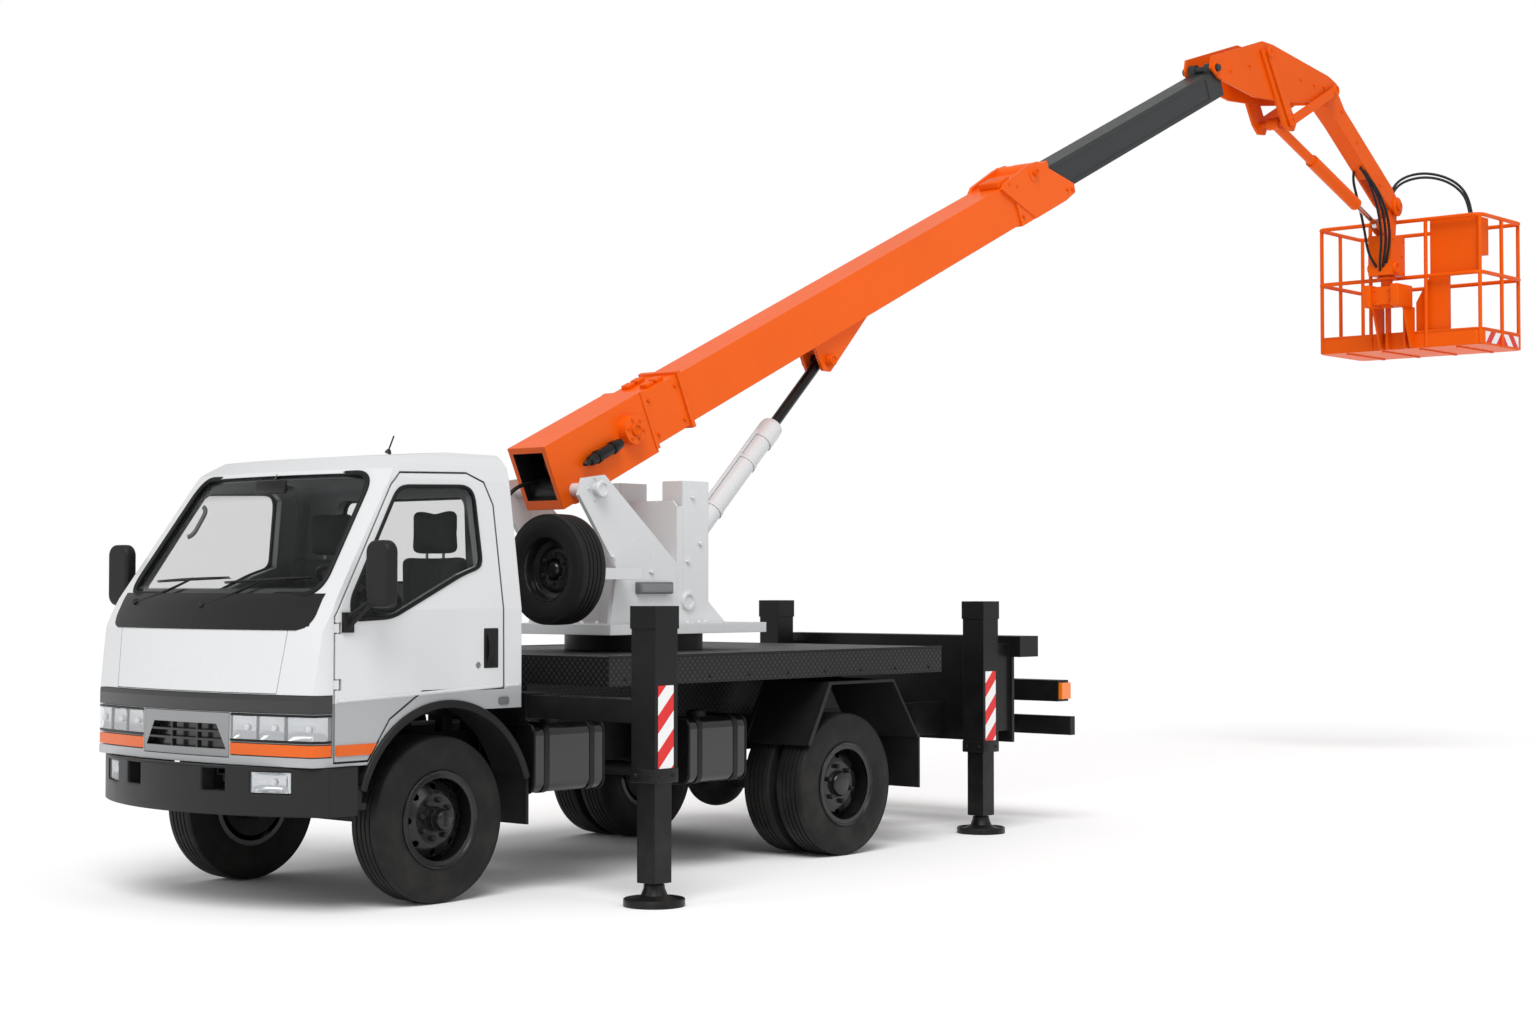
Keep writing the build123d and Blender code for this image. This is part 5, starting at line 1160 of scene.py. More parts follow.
    def wipers(self) -> None:
        """Two arms from their spindles to the blades, which lie along the foot of the windscreen."""
        parts = []
        for pivot, tip, blade in (
            ((0.705, -0.602, 1.39), (0.690, -0.17, 1.504), ((0.672, -0.476, 1.491), (0.690, 0.106, 1.508))),
            ((0.762, 0.0, 1.378), (0.676, 0.361, 1.503), ((0.704, 0.09, 1.485), (0.636, 0.623, 1.507))),
        ):
            arm = along(pivot, tip, 16, (0.012, 0, -0.012))
            parts.append(sweep(arm, bar(0.016, 0.009), grow=np.linspace(1.2, 0.6, 16)))
            spine = along(blade[0], blade[1], 24, (0.012, 0, 0.0))
            parts.append(
                sweep(spine, bar(0.012, 0.010), grow=0.45 + 0.55 * np.sin(np.linspace(0.15, 2.99, 24)))
            )
            parts.append(sweep(spine - (0.007, 0, 0.006), bar(0.004, 0.012)))
            parts.append(turned(((-0.02, 0.017), (0.010, 0.017), (0.016, 0.009)), pivot, (0.8, 0, 0.6), 20))
        joined(parts).build("wipers", SATIN, "chassis", "black_plastic")

    def fittings(self) -> None:
        """Inner mirror, grab handle, aerial, arch lips and the small blank side plates."""
        glass = rounded_box((0.372, -0.100, 1.902), (0.392, 0.124, 1.968), 0.008)
        stalk = sweep(along((0.385, 0.012, 1.94), (0.330, 0.012, 2.005), 6), circle(0.007))
        (glass + stalk).build("inner_mirror", SATIN, "chassis", "black_plastic")
        grip = rounded(
            np.array([(0.415, -0.640, 1.700), (0.375, -0.610, 1.712), (0.300, -0.598, 1.842), (0.322,
            -0.632, 1.868)]),
            0.04
        )
        sweep(grip[5:-5], circle(0.011)).build("grab_handle", GREY, "chassis", "trim_grey")
        base = turned(
            ((-0.004, 0.016), (0.006, 0.014), (0.016, 0.007)), (0.122, 0.55, 2.090), (-0.35, 0.1, 1), 20
        )
        rod = sweep(along((0.122, 0.55, 2.095), (0.094, 0.558, 2.168), 6), circle(0.004, 8))
        (base + rod).build("aerial", SATIN, "chassis", "black_plastic")
        turn = np.radians(np.linspace(17, 163, 40))
        lip = np.stack((0.523 * np.cos(turn), np.full(40, 0.838), 0.40 + 0.523 * np.sin(turn)), -1)
        sweep(lip, bar(0.016, 0.036, 0.15), (0, 1, 0)).pair().build(
            "arch_lips", PLASTIC, "chassis", "black_plastic"
        )
        spot = plate(rounded(rectangle((-0.385, -0.322), (0.908, 0.944)), 0.012), "xz", 0.829, 0.836)
        spot.pair().build("side_plates", GREY, "chassis", "trim_grey")
        ledge = sweep(
            along((-0.362, 0.830, 0.9955), (-0.462, 0.830, 0.999), 3), circle(0.008, 8, 0.7), (0, 0, 1)
        )
        ledge.pair().build("cab_ledges", WHITE, "chassis", "white_paint")

    def build(self) -> None:
        """Everything on the cab that doesn't ride on a door."""
        self.lamps()
        self.seals()
        self.cowl()
        self.steering_wheel()
        self.wipers()
        self.fittings()


@dataclass
class Door:
    """What a door carries besides its panel and pane."""

    side: Side
    cab: Cab
    window: tuple[tuple[float, float], ...] = (
        (0.560, 1.315), (0.565, 1.400), (0.245, 1.895), (0.200, 1.925), (-0.190, 1.936), (-0.230, 1.900),
        (-0.238, 1.560),
        (-0.110, 1.520), (0.330, 1.325),
    )
    handle: tuple[float, float] = (-0.274, 1.175)
    lock: tuple[float, float] = (-0.192, 1.097)
    mirror: Point = (0.4885, 0.985, 1.52)

    def build(self) -> None:
        """Seal, handle, lock, amber strip, mirror glass and the inner armrest."""
        body = f"{self.side.word}_door"
        name = self.side.word
        ring = rounded(self.window, 0.045, 5)
        path = np.stack((ring[:, 0], self.cab.side(ring[:, 1]) - 0.002, ring[:, 1]), -1)
        sweep(path, circle(0.012, 8, 0.8), (0, 1, 0), True).on(self.side).build(
            f"door_seal_{name}", SEAL, body, "black_plastic"
        )
        x, z = self.handle
        pocket = rounded_box((x - 0.046, 0.822, z - 0.094), (x + 0.046, 0.834, z + 0.094), 0.0055)
        grip = sweep(
            along((x + 0.006, 0.833, z - 0.074), (x + 0.006, 0.833, z + 0.074), 14, (0, 0.016, 0)),
            bar(0.044, 0.010)
        )
        ledge = sweep(
            along((0.645, 0.830, 0.958), (-0.343, 0.830, 0.995), 3), circle(0.008, 8, 0.7), (0, 0, 1)
        )
        ledge.on(self.side).build(f"door_ledge_{name}", WHITE, body, "white_paint")
        lock = turned(((-0.004, 0.014), (0.003, 0.014), (0.004, 0.010), (0.002, 0.009), (0.002, 0.003)),
                      (self.lock[0], 0.83, self.lock[1]), (0, 1, 0), 24)
        (pocket + grip).on(self.side).build(f"door_handle_{name}", PLASTIC, body, "black_plastic")
        lock.on(self.side).build(f"door_lock_{name}", STEEL, body, "rod_chrome")
        strip = plate(
            rounded(np.array([(0.652, 0.714), (0.652, 0.763), (0.420, 0.763), (0.455, 0.714)]), 0.008),
            "xz", 0.824, 0.836
        )
        strip.on(self.side).build(f"side_marker_{name}", AMBER, body, "orange_paint")
        mx, my, mz = self.mirror
        glass = plate(
            rounded(rectangle((my - 0.056, my + 0.056), (mz - 0.124, mz + 0.124)), 0.06), "yz", mx - 0.0015,
            mx + 0.003
        )
        glass.on(self.side).build(f"mirror_glass_{name}", MIRROR, body, "rod_chrome")
        rest = rounded_box((-0.20, 0.735, 1.16), (0.26, 0.782, 1.215), 0.018)
        rest.on(self.side).build(f"door_armrest_{name}", GREY, body, "trim_grey")


@dataclass
class Seats:
    """The driver's seat and the wider passenger seat: base, back and head rests as stuffed cloth pads."""

    rows: tuple[tuple[str, float, float], ...] = (("driver", 0.39, 0.46), ("passenger", -0.39, 0.62))
    voxel: float = 0.012
    frames: int = 20
    swell: float = 0.014

    def inflate(self, piece: bpy.types.Object) -> None:
        """Remeshes a pad, blows it up a little as cloth and keeps the result.

        Args:
            piece: the pad, whose points move by no more than swell.
        """
        remesh = piece.modifiers.new("even", "REMESH")
        remesh.mode, remesh.voxel_size = "VOXEL", self.voxel
        self.apply(piece)
        before = np.zeros(len(piece.data.vertices) * 3)
        piece.data.vertices.foreach_get("co", before)
        cloth = piece.modifiers.new("stuffing", "CLOTH")
        cloth.settings.use_pressure = True
        cloth.settings.uniform_pressure_force = 4
        cloth.settings.quality = 4
        cloth.settings.effector_weights.gravity = 0
        cloth.point_cache.frame_end = self.frames
        for number in range(1, self.frames + 1):
            bpy.context.scene.frame_set(number)
        self.apply(piece)
        after = np.zeros(len(before))
        piece.data.vertices.foreach_get("co", after)
        move = (after - before).reshape(-1, 3)
        size = np.linalg.norm(move, axis=1, keepdims=True)
        kept = move * np.minimum(1, self.swell / np.maximum(size, 1e-9))
        piece.data.vertices.foreach_set("co", (before.reshape(-1, 3) + kept).ravel())
        bpy.context.scene.frame_set(1)

    def apply(self, piece: bpy.types.Object) -> None:
        """Makes the piece's modifiers part of its mesh."""
        graph = bpy.context.evaluated_depsgraph_get()
        mesh = bpy.data.meshes.new_from_object(piece.evaluated_get(graph))
        piece.modifiers.clear()
        piece.data = mesh

    def sew(self, piece: bpy.types.Object, middle: float, width: float, axis: int) -> None:
        """Presses two sewn channels into a pad, as a bell-shaped groove across Y that fades towards the
        pad's rim.

        Args:
            piece: the pad.
            middle: Y of the seat's middle.
            width: the seat's width.
            axis: the direction in which the channels are pressed.
        """
        points = np.zeros(len(piece.data.vertices) * 3)
        piece.data.vertices.foreach_get("co", points)
        points = points.reshape(-1, 3)
        centre = points.mean(0)
        for share in (-0.24, 0.24):
            groove = 0.010 * np.exp(-(((points[:, 1] - middle - share * width) / 0.012) ** 2))
            points[:, axis] -= groove * np.sign(points[:, axis] - centre[axis])
        piece.data.vertices.foreach_set("co", points.ravel())
        piece.data.polygons.foreach_set("use_smooth", np.ones(len(piece.data.polygons), bool))

    def build(self) -> None:
        """Three pads to a seat, each smaller than its space by the swell, with the first standing for the
        CAD seats."""
        pads = []
        for name, middle, width in self.rows:
            half = width / 2 - self.swell - 0.004
            head = min(half, 0.14)
            for part, low, high, axis in (
                ("base", (-0.240, middle - half, 0.998), (0.200, middle + half, 1.112), 2),
                ("back", (-0.355, middle - half, 1.138), (-0.262, middle + half, 1.615), 0),
                ("head_rest", (-0.350, middle - head, 1.622), (-0.272, middle + head, 1.830), 0),
            ):
                pad = rounded_box(low, high, 0.030, 5).build(f"{name}_seat_{part}", CLOTH, None, "cloth")
                self.inflate(pad)
                if part != "head_rest":
                    self.sew(pad, middle, width, axis)
                pad.modifiers.new("smooth", "SUBSURF").levels = 1
                pad.modifiers["smooth"].render_levels = 1
                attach(pad, "chassis")
                pads.append(pad)
            posts = [
                sweep(along((-0.312, middle + y, 1.58), (-0.312, middle + y, 1.69), 4), circle(0.007, 10))
                for y in (-0.06, 0.06)
            ]
            joined(posts).build(f"{name}_head_rest_posts", STEEL, "chassis", "rod_chrome")
        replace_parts(pads[0], "seats")


# Wheels


@dataclass
class Wheels:
    """Tyres with ribs, nuts and hub caps on the rims, and the spare wheel."""

    radius: float = 0.3875
    width: float = 0.200
    rim: float = 0.218
    ribs: tuple[float, ...] = (-0.60, -0.20, 0.20, 0.60)
    groove: float = 0.009
    front_y: float = 0.700
    rear_x: float = -2.780
    rear_y: tuple[float, float] = (0.635, 0.865)
    spare: Point = (-1.020, 0.500, 1.550)

    def tyre(self, centre: Point, axis: Point, radius: float, width: float, rim: float) -> Shape:
        """A tyre turned from one profile.

        Args:
            centre: the wheel's middle.
            axis: its axle.
            radius: over the tread.
            width: over the walls.
            rim: the radius of its bead.

        Returns:
            The tyre, with the turn and the profile's length as its UV map. Half the profile is bead, wall
            as an arc that
            bulges to half the width, shoulder as a quarter round, and a slightly crowned tread with square
            grooves.
        """
        tread = 0.37 * width
        grooves = np.array(self.ribs) * tread
        steps = np.array((-0.0045, -0.0035, 0.0035, 0.0045)) * width / 0.2
        flat = (grooves[:, None] + steps).ravel()
        sunk = np.tile((0.0, 1.0, 1.0, 0.0), len(grooves)) * self.groove * width / 0.2
        tread_rows = np.stack((flat, radius - 0.002 * (flat / tread) ** 2 - sunk), -1)
        t = np.linspace(0, 1, 12)
        wall_r = rim + (radius * 0.965 - rim) * t
        wall = np.stack((width * (0.40 + 0.10 * np.sin(math.pi * (0.08 + 0.78 * t))), wall_r), -1)
        ridge = 0.0016 * ((t > 0.30) & (t < 0.42)) + 0.0012 * ((t > 0.70) & (t < 0.80))
        wall[:, 0] += ridge - 0.0016
        shoulder = np.array(
            [
                (0.445 * width, radius * 0.975), (0.415 * width, radius * 0.988),
                (0.38 * width, radius * 0.9945)
            ]
        )
        half = np.vstack((np.array([(0.34 * width, rim - 0.004)]), wall, shoulder))
        profile = np.vstack((half * (-1, 1), tread_rows, half[::-1]))
        shape = turned(profile, centre, axis, 96, True)
        rows, spokes = len(profile), 96
        i = np.repeat(np.arange(rows), spokes)
        j = np.tile(np.arange(spokes), rows)
        v = np.stack((i, i, i + 1, i + 1), -1) / rows
        u = np.stack((j, j + 1, j + 1, j), -1) / spokes
        shape.turn = np.stack((u, v), -1)
        return shape

    def drum(self, centre: Point, axis: Point, reach: tuple[float, float], radius: float) -> Shape:
        """A ribbed brake drum inside the rim, between two distances from the tyre's middle."""
        low, high = reach
        ribs = np.linspace(low + 0.01, high - 0.012, 9)
        rows = [
            (low, radius * 0.5), (low, radius),
            *((d, radius - 0.004 * (k % 2)) for k, d in enumerate(ribs)), (high, radius * 0.94),
            (high, radius * 0.5)
        ]
        return turned(rows, centre, axis, 40, True)

    def flange(self, centre: Point, axis: Point) -> Shape:
        """The rim's rolled outer lip against the tyre's bead."""
        rows = (
            (0.066, 0.206), (0.080, 0.208), (0.088, 0.214), (0.094, 0.223), (0.092, 0.227), (0.086, 0.225),
            (0.080, 0.218), (0.066, 0.213)
        )
        return turned(rows, centre, axis, 72, True)

    def front(self, side: Side) -> None:
        """A front tyre, eight nuts and the hub's cap."""
        body = f"front_wheel_{side.word}"
        y = side.value
        axis = (0, y, 0)
        tyre = self.tyre((0, y * self.front_y, self.radius), axis, self.radius, self.width, self.rim)
        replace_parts(tyre.build(f"front_tread_{side.word}", TYRE, body, "tyre", 30), f"front_tyre_{side.word}")
        nuts = studs(
            ring_of((0, y * (self.front_y + 0.0515), self.radius), 0.090, 8, "xz", 0.2), axis, 0.014, 0.020
        )
        hub = turned(((-0.004, 0.052), (0.012, 0.052), (0.030, 0.044), (0.036, 0.030), (0.036, 0.008)),
                     (0, y * (self.front_y + 0.092), self.radius), axis, 40)
        bolts = studs(
            ring_of((0, y * (self.front_y + 0.1035), self.radius), 0.0445, 6, "xz"), axis, 0.0055, 0.006
        )
        (nuts + bolts).build(f"front_nuts_{side.word}", CAST, body, "cast")
        self.drum(
            (0, y * self.front_y, self.radius), axis, (-0.088, -0.022), 0.168
        ).build(f"front_drum_{side.word}", CHASSIS, body, "cast")
        lip = self.flange((0, y * self.front_y, self.radius), axis)
        (hub + lip).build(f"front_hub_{side.word}", RIM, body, "rim_paint")

    def rear(self, side: Side) -> None:
        """A pair of rear tyres with the outer rim's nuts and cap."""
        body = f"rear_wheels_{side.word}"
        y = side.value
        axis = (0, y, 0)
        for number, at in enumerate(self.rear_y):
            tyre = self.tyre((self.rear_x, y * at, self.radius), axis, self.radius, self.width, self.rim)
            piece = tyre.build(f"rear_tread_{side.word}_{number + 1}", TYRE, body, "tyre", 30)
            if number == 0:
                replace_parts(piece, f"rear_tyres_{side.word}")
        face = self.rear_y[1] + 0.032
        nuts = studs(ring_of((self.rear_x, y * face, self.radius), 0.098, 6, "xz", 0.3), axis, 0.014, 0.024)
        nuts.build(f"rear_nuts_{side.word}", CAST, body, "cast")
        inner = (self.rear_x, y * self.rear_y[0], self.radius)
        self.drum(inner, axis, (-0.080, 0.010), 0.172).build(f"rear_drum_{side.word}", CHASSIS, body, "cast")
        hub = turned(((-0.006, 0.070), (0.006, 0.070), (0.020, 0.060), (0.024, 0.040), (0.024, 0.010)),
                     (self.rear_x, y * (self.rear_y[1] + 0.040), self.radius), axis, 40)
        lip = self.flange((self.rear_x, y * self.rear_y[1], self.radius), axis)
        (hub + lip).build(f"rear_hub_{side.word}", RIM, body, "rim_paint")

    def carried(self) -> None:
        """The spare wheel on the turret's bracket, facing forward."""
        tyre = self.tyre(self.spare, (1, 0, 0), 0.28, 0.176, 0.165)
        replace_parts(tyre.build("spare_tread", TYRE, "turret", "tyre", 30), "spare_wheel")
        x, y, z = self.spare
        dish = turned(
            (
                (-0.064, 0.168), (0.066, 0.168), (0.071, 0.160), (0.056, 0.152), (0.018, 0.144),
                (0.004, 0.120), (0.012, 0.104), (0.018, 0.090), (0.018, 0.058), (0.006, 0.052),
                (-0.004, 0.050), (-0.060, 0.050)
            ),
            self.spare, (1, 0, 0), 64, True
        )
        nuts = studs(ring_of((x + 0.018, y, z), 0.074, 6, "yz", 0.4), (1, 0, 0), 0.011, 0.014)
        clamp = turned(
            ((-0.080, 0.058), (-0.006, 0.049), (0.022, 0.040), (0.030, 0.030), (0.030, 0.010)), self.spare,
            (1, 0, 0), 32
        )
        (dish + clamp).build("spare_rim", RIM, "turret", "rim_paint")
        nuts.build("spare_nuts", CAST, "turret", "cast")

    def build(self) -> None:
        """All wheels."""
        for side in Side:
            self.front(side)
            self.rear(side)
        self.carried()


# Deck, legs and tail


@dataclass
class Undergear:
    """Tank straps and caps, leg collars and stripes, feet, and the tail's small fittings."""

    tanks: tuple[tuple[float, float, float, float], ...] = (
        (-1.010, -0.535, 0.475, 0.805), (-2.070, -1.625, 0.452, 0.788)
    )
    tank_y: tuple[float, float] = (0.470, 0.850)
    half_housing: float = 0.075
    front_leg: tuple[float, float, float] = (-0.600, 1.580, 0.565)
    rear_leg: tuple[float, float, float] = (-4.245, 0.800, 0.480)
    stripe_z: tuple[tuple[float, float], ...] = ((0.631, 1.011), (0.550, 0.960))
    guard: tuple[tuple[float, float], ...] = (
        (-2.436, 0.614), (-2.614, 0.941), (-3.163, 0.941), (-3.394, 0.617)
    )
    guard_y: tuple[float, float] = (0.519, 0.971)
    deck_x: tuple[float, float] = (-3.655, -0.940)
    deck_half: float = 0.950

    def straps(self) -> None:
        """Two bands round each tank, a raised bead round each end, and a filler cap."""
        bands, caps = [], []
        for x0, x1, z0, z1 in self.tanks:
            outline = rounded(rectangle(self.tank_y, (z0, z1)), 0.055, 7)
            for x in (x0 + 0.085, x1 - 0.085):
                path = np.stack((np.full(len(outline), x), outline[:, 0], outline[:, 1]), -1)
                bands.append(sweep(path, bar(0.036, 0.008), (1, 0, 0), True))
            for x in (x0 + 0.004, x1 - 0.004):
                path = np.stack((np.full(len(outline), x), outline[:, 0], outline[:, 1]), -1)
                bands.append(sweep(path, circle(0.006, 8), (1, 0, 0), True))
            middle = ((x0 + x1) / 2, 0.70, z1)
            caps.append(
                turned(
                    ((-0.006, 0.050), (0.020, 0.050), (0.030, 0.044), (0.034, 0.030), (0.034, 0.008)),
                    middle, (0, 0, 1), 28
                )
            )
        joined(bands).pair().build("tank_straps", BLACK, "chassis", "black_steel")
        joined(caps).pair().build("tank_caps", PLASTIC, "chassis", "black_plastic")

    def collar(self, x: float, y: float, low: float) -> Shape:
        """A band round a leg housing's lower end, with two bolts on each outer face."""
        square = rounded(
            rectangle((x - self.half_housing, x + self.half_housing), (y - self.half_housing, y +
            self.half_housing)),
            0.004, 3
        )
        path = np.stack((square[:, 0], square[:, 1], np.full(len(square), low + 0.034)), -1)
        ring = sweep(path, bar(0.066, 0.010, 0.2), (0, 0, 1), True)
        out = self.half_housing + 0.004
        bolts = [studs([(x + out, y + d, low + 0.034) for d in (-0.045, 0.045)], (1, 0, 0), 0.009, 0.008),
                 studs([(x + d, y + out, low + 0.034) for d in (-0.045, 0.045)], (0, 1, 0), 0.009, 0.008),
                 studs([(x + d, y - out, low + 0.034) for d in (-0.045, 0.045)], (0, -1, 0), 0.009, 0.008)]
        return joined([ring, *bolts])

    def foot(self, x: float, y: float) -> Shape:
        """A dished foot: a flared cup round the stem, and the plate's turned-up rim."""
        cup = turned(
            (
                (0.024, 0.112), (0.034, 0.090), (0.050, 0.062), (0.080, 0.050), (0.098, 0.048),
                (0.100, 0.037), (0.024, 0.037)
            ),
            (x, y, 0), (0, 0, 1), 40, True
        )
        rim = turned(
            ((0.024, 0.124), (0.036, 0.138), (0.032, 0.1425), (0.004, 0.1425), (0.004, 0.124)), (x, y, 0),
            (0, 0, 1), 48, True
        )
        return cup + rim

    def legs(self) -> None:
        """Collars, stripes and feet of the four legs."""
        for side in Side:
            for end, (x, y, low), (z0, z1), housing in (
                ("front", self.front_leg, self.stripe_z[0], f"front_beam_{side.word}"),
                ("rear", self.rear_leg, self.stripe_z[1], "chassis"),
            ):
                self.collar(x, y, low).on(side).build(
                    f"{end}_leg_collar_{side.word}", BLACK, housing, "black_steel"
                )
                face = y + self.half_housing
                sign = plate(rectangle((x - 0.048, x + 0.055), (z0, z1)), "xz", face - 0.001, face + 0.0012)
                sign.on(side).build(f"{end}_leg_stripes_{side.word}", STRIPES[side], housing, "white_paint")
                self.foot(x, y).on(side).build(
                    f"{end}_foot_{side.word}", BLACK, f"{end}_leg_{side.word}", "black_steel"
                )

    def guards(self) -> None:
        """Rolled edges along both sides of the rear mudguards."""
        corners = np.array(self.guard)
        lips = []
        for y in self.guard_y:
            path = np.stack((corners[:, 0], np.full(len(corners), y), corners[:, 1]), -1)
            lips.append(sweep(path, bar(0.030, 0.018, 0.35), (0, 1, 0)))
        joined(lips).pair().build("mudguard_edges", PLASTIC, "chassis", "black_plastic")

    def deck(self) -> None:
        """A row of bolts along each skirt and a round edge bar along each side."""
        bolts = []
        for x in np.linspace(self.deck_x[0] + 0.12, self.deck_x[1] - 0.12, 9):
            bolts.append((x, self.deck_half, 1.005))
        studs(bolts, (0, 1, 0), 0.008, 0.006).pair().build("deck_bolts", BLACK, "chassis", "black_steel")
        edge = sweep(
            along(
                (self.deck_x[0] + 0.003, self.deck_half, 1.118),
                (self.deck_x[1] - 0.003, self.deck_half, 1.118), 4
            ),
            circle(0.006, 8)
        )
        edge.pair().build("deck_edges", BLACK, "chassis", "black_steel")

    def tail(self) -> None:
        """Lamp screws, a blank plate and rubber stops on the tail bars."""
        screws = studs(
            [(-5.0895, y, z) for y in (0.535, 0.745, 0.848) for z in (0.778, 0.862)], (-1, 0, 0), 0.005,
            0.004, 10
        )
        screws.pair().build("tail_screws", STEEL, "chassis", "rod_chrome")
        blank = plate(rounded(rectangle((-0.26, 0.26), (0.765, 0.875)), 0.01), "yz", -5.064, -5.058)
        blank.build("blank_plate", WHITE, "chassis", "white_paint")
        stops = rounded_box((-5.110, 0.770, 0.555), (-5.085, 0.890, 0.650), 0.010)
        stops.pair().build("tail_stops", RUBBER, "chassis", "black_plastic")

    def build(self) -> None:
        """Everything low on the truck."""
        self.straps()
        self.legs()
        self.guards()
        self.deck()
        self.tail()


# Turret, boom, jib and basket


@dataclass
class Turret:
    """Bolts, pin caps and the side lamp of the white turret, and the lift cylinder's fittings."""

    slew: Point = (-2.100, 0.0, 1.265)
    plate_y: float = 0.310
    pivot: tuple[float, float] = (-1.500, 1.975)
    lift_base: tuple[float, float] = (-2.200, 1.385)
    lift_axis: Point = (-0.7237, 0.0, 0.6903)
    barrel_end: float = 1.480
    lamp: Point = (-1.920, 0.310, 1.456)
    front_plate: tuple[tuple[float, float], ...] = (
        (-0.311, 1.265), (0.311, 1.265), (0.311, 1.900), (0.280, 1.932), (-0.280, 1.932), (-0.311, 1.900),
    )

    def build(self) -> None:
        """Dresses the turret and the lift cylinder."""
        ring = studs(ring_of(self.slew, 0.402, 24, "xy"), (0, 0, 1), 0.013, 0.014)
        x, z = self.pivot
        caps = [pin_cap((x, 0.345, z), (0, 1, 0), 0.046, 0.016),
                studs(ring_of((x, 0.309, z), 0.062, 5, "xz"), (0, 1, 0), 0.008, 0.008)]
        x, z = self.lift_base
        caps += [pin_cap((x, self.plate_y, z), (0, 1, 0), 0.052, 0.018),
                 studs([(-1.912, self.plate_y, 1.542), (-2.24, self.plate_y, 1.95), (-2.30, self.plate_y,
                 1.70),
                        (-2.20, self.plate_y, 1.60), (-1.62, self.plate_y, 1.62)], (0, 1, 0), 0.014, 0.014)]
        (joined(caps).pair() + ring).build("turret_bolts", WHITE, "turret", "white_paint")
        front = plate(np.array(self.front_plate), "yz", -2.125, -2.113)
        returns = plate(rectangle((-2.165, -2.125), (1.265, 1.900)), "xz", 0.299, 0.311)
        (front + returns.pair()).build("turret_front_plate", WHITE, "turret", "white_paint")
        x, y, z = self.lamp
        body = rounded_box((x - 0.130, y - 0.004, z - 0.032), (x + 0.130, y + 0.040, z + 0.032), 0.008)
        lens = rounded_box((x - 0.118, y + 0.036, z - 0.022), (x + 0.118, y + 0.046, z + 0.022), 0.0045)
        body.build("turret_lamp", GREY, "turret", "trim_grey")
        lens.build("turret_lamp_lens", CLEAR, "turret", "lamp")
        foot = np.array((self.lift_base[0], 0, self.lift_base[1]))
        axis = np.array(self.lift_axis)
        end = foot + axis * self.barrel_end
        gland = turned(
            (
                (-0.150, 0.0615), (-0.146, 0.070), (-0.030, 0.070), (-0.004, 0.066), (0.012, 0.052),
                (0.012, 0.034), (-0.002, 0.033)
            ),
            end, axis, 40
        )
        gland.build("lift_gland", WHITE, "lift_cylinder_barrel", "white_paint")
        over = np.array((0.6903, 0.0, 0.7237)) * 0.074
        pipe = along(tuple(foot + axis * 0.12 + over), tuple(foot + axis * 1.36 + over), 8)
        clips = [
            turned(
                ((-0.012, 0.0625), (-0.012, 0.067), (0.012, 0.067), (0.012, 0.0625)), foot + axis * d, axis,
                32, True
            )
            for d in (0.3, 0.75, 1.15)
        ]
        joined([sweep(pipe, circle(0.011, 10), (0, 1, 0)), *clips]).build(
            "lift_pipe", WHITE, "lift_cylinder_barrel", "white_paint"
        )


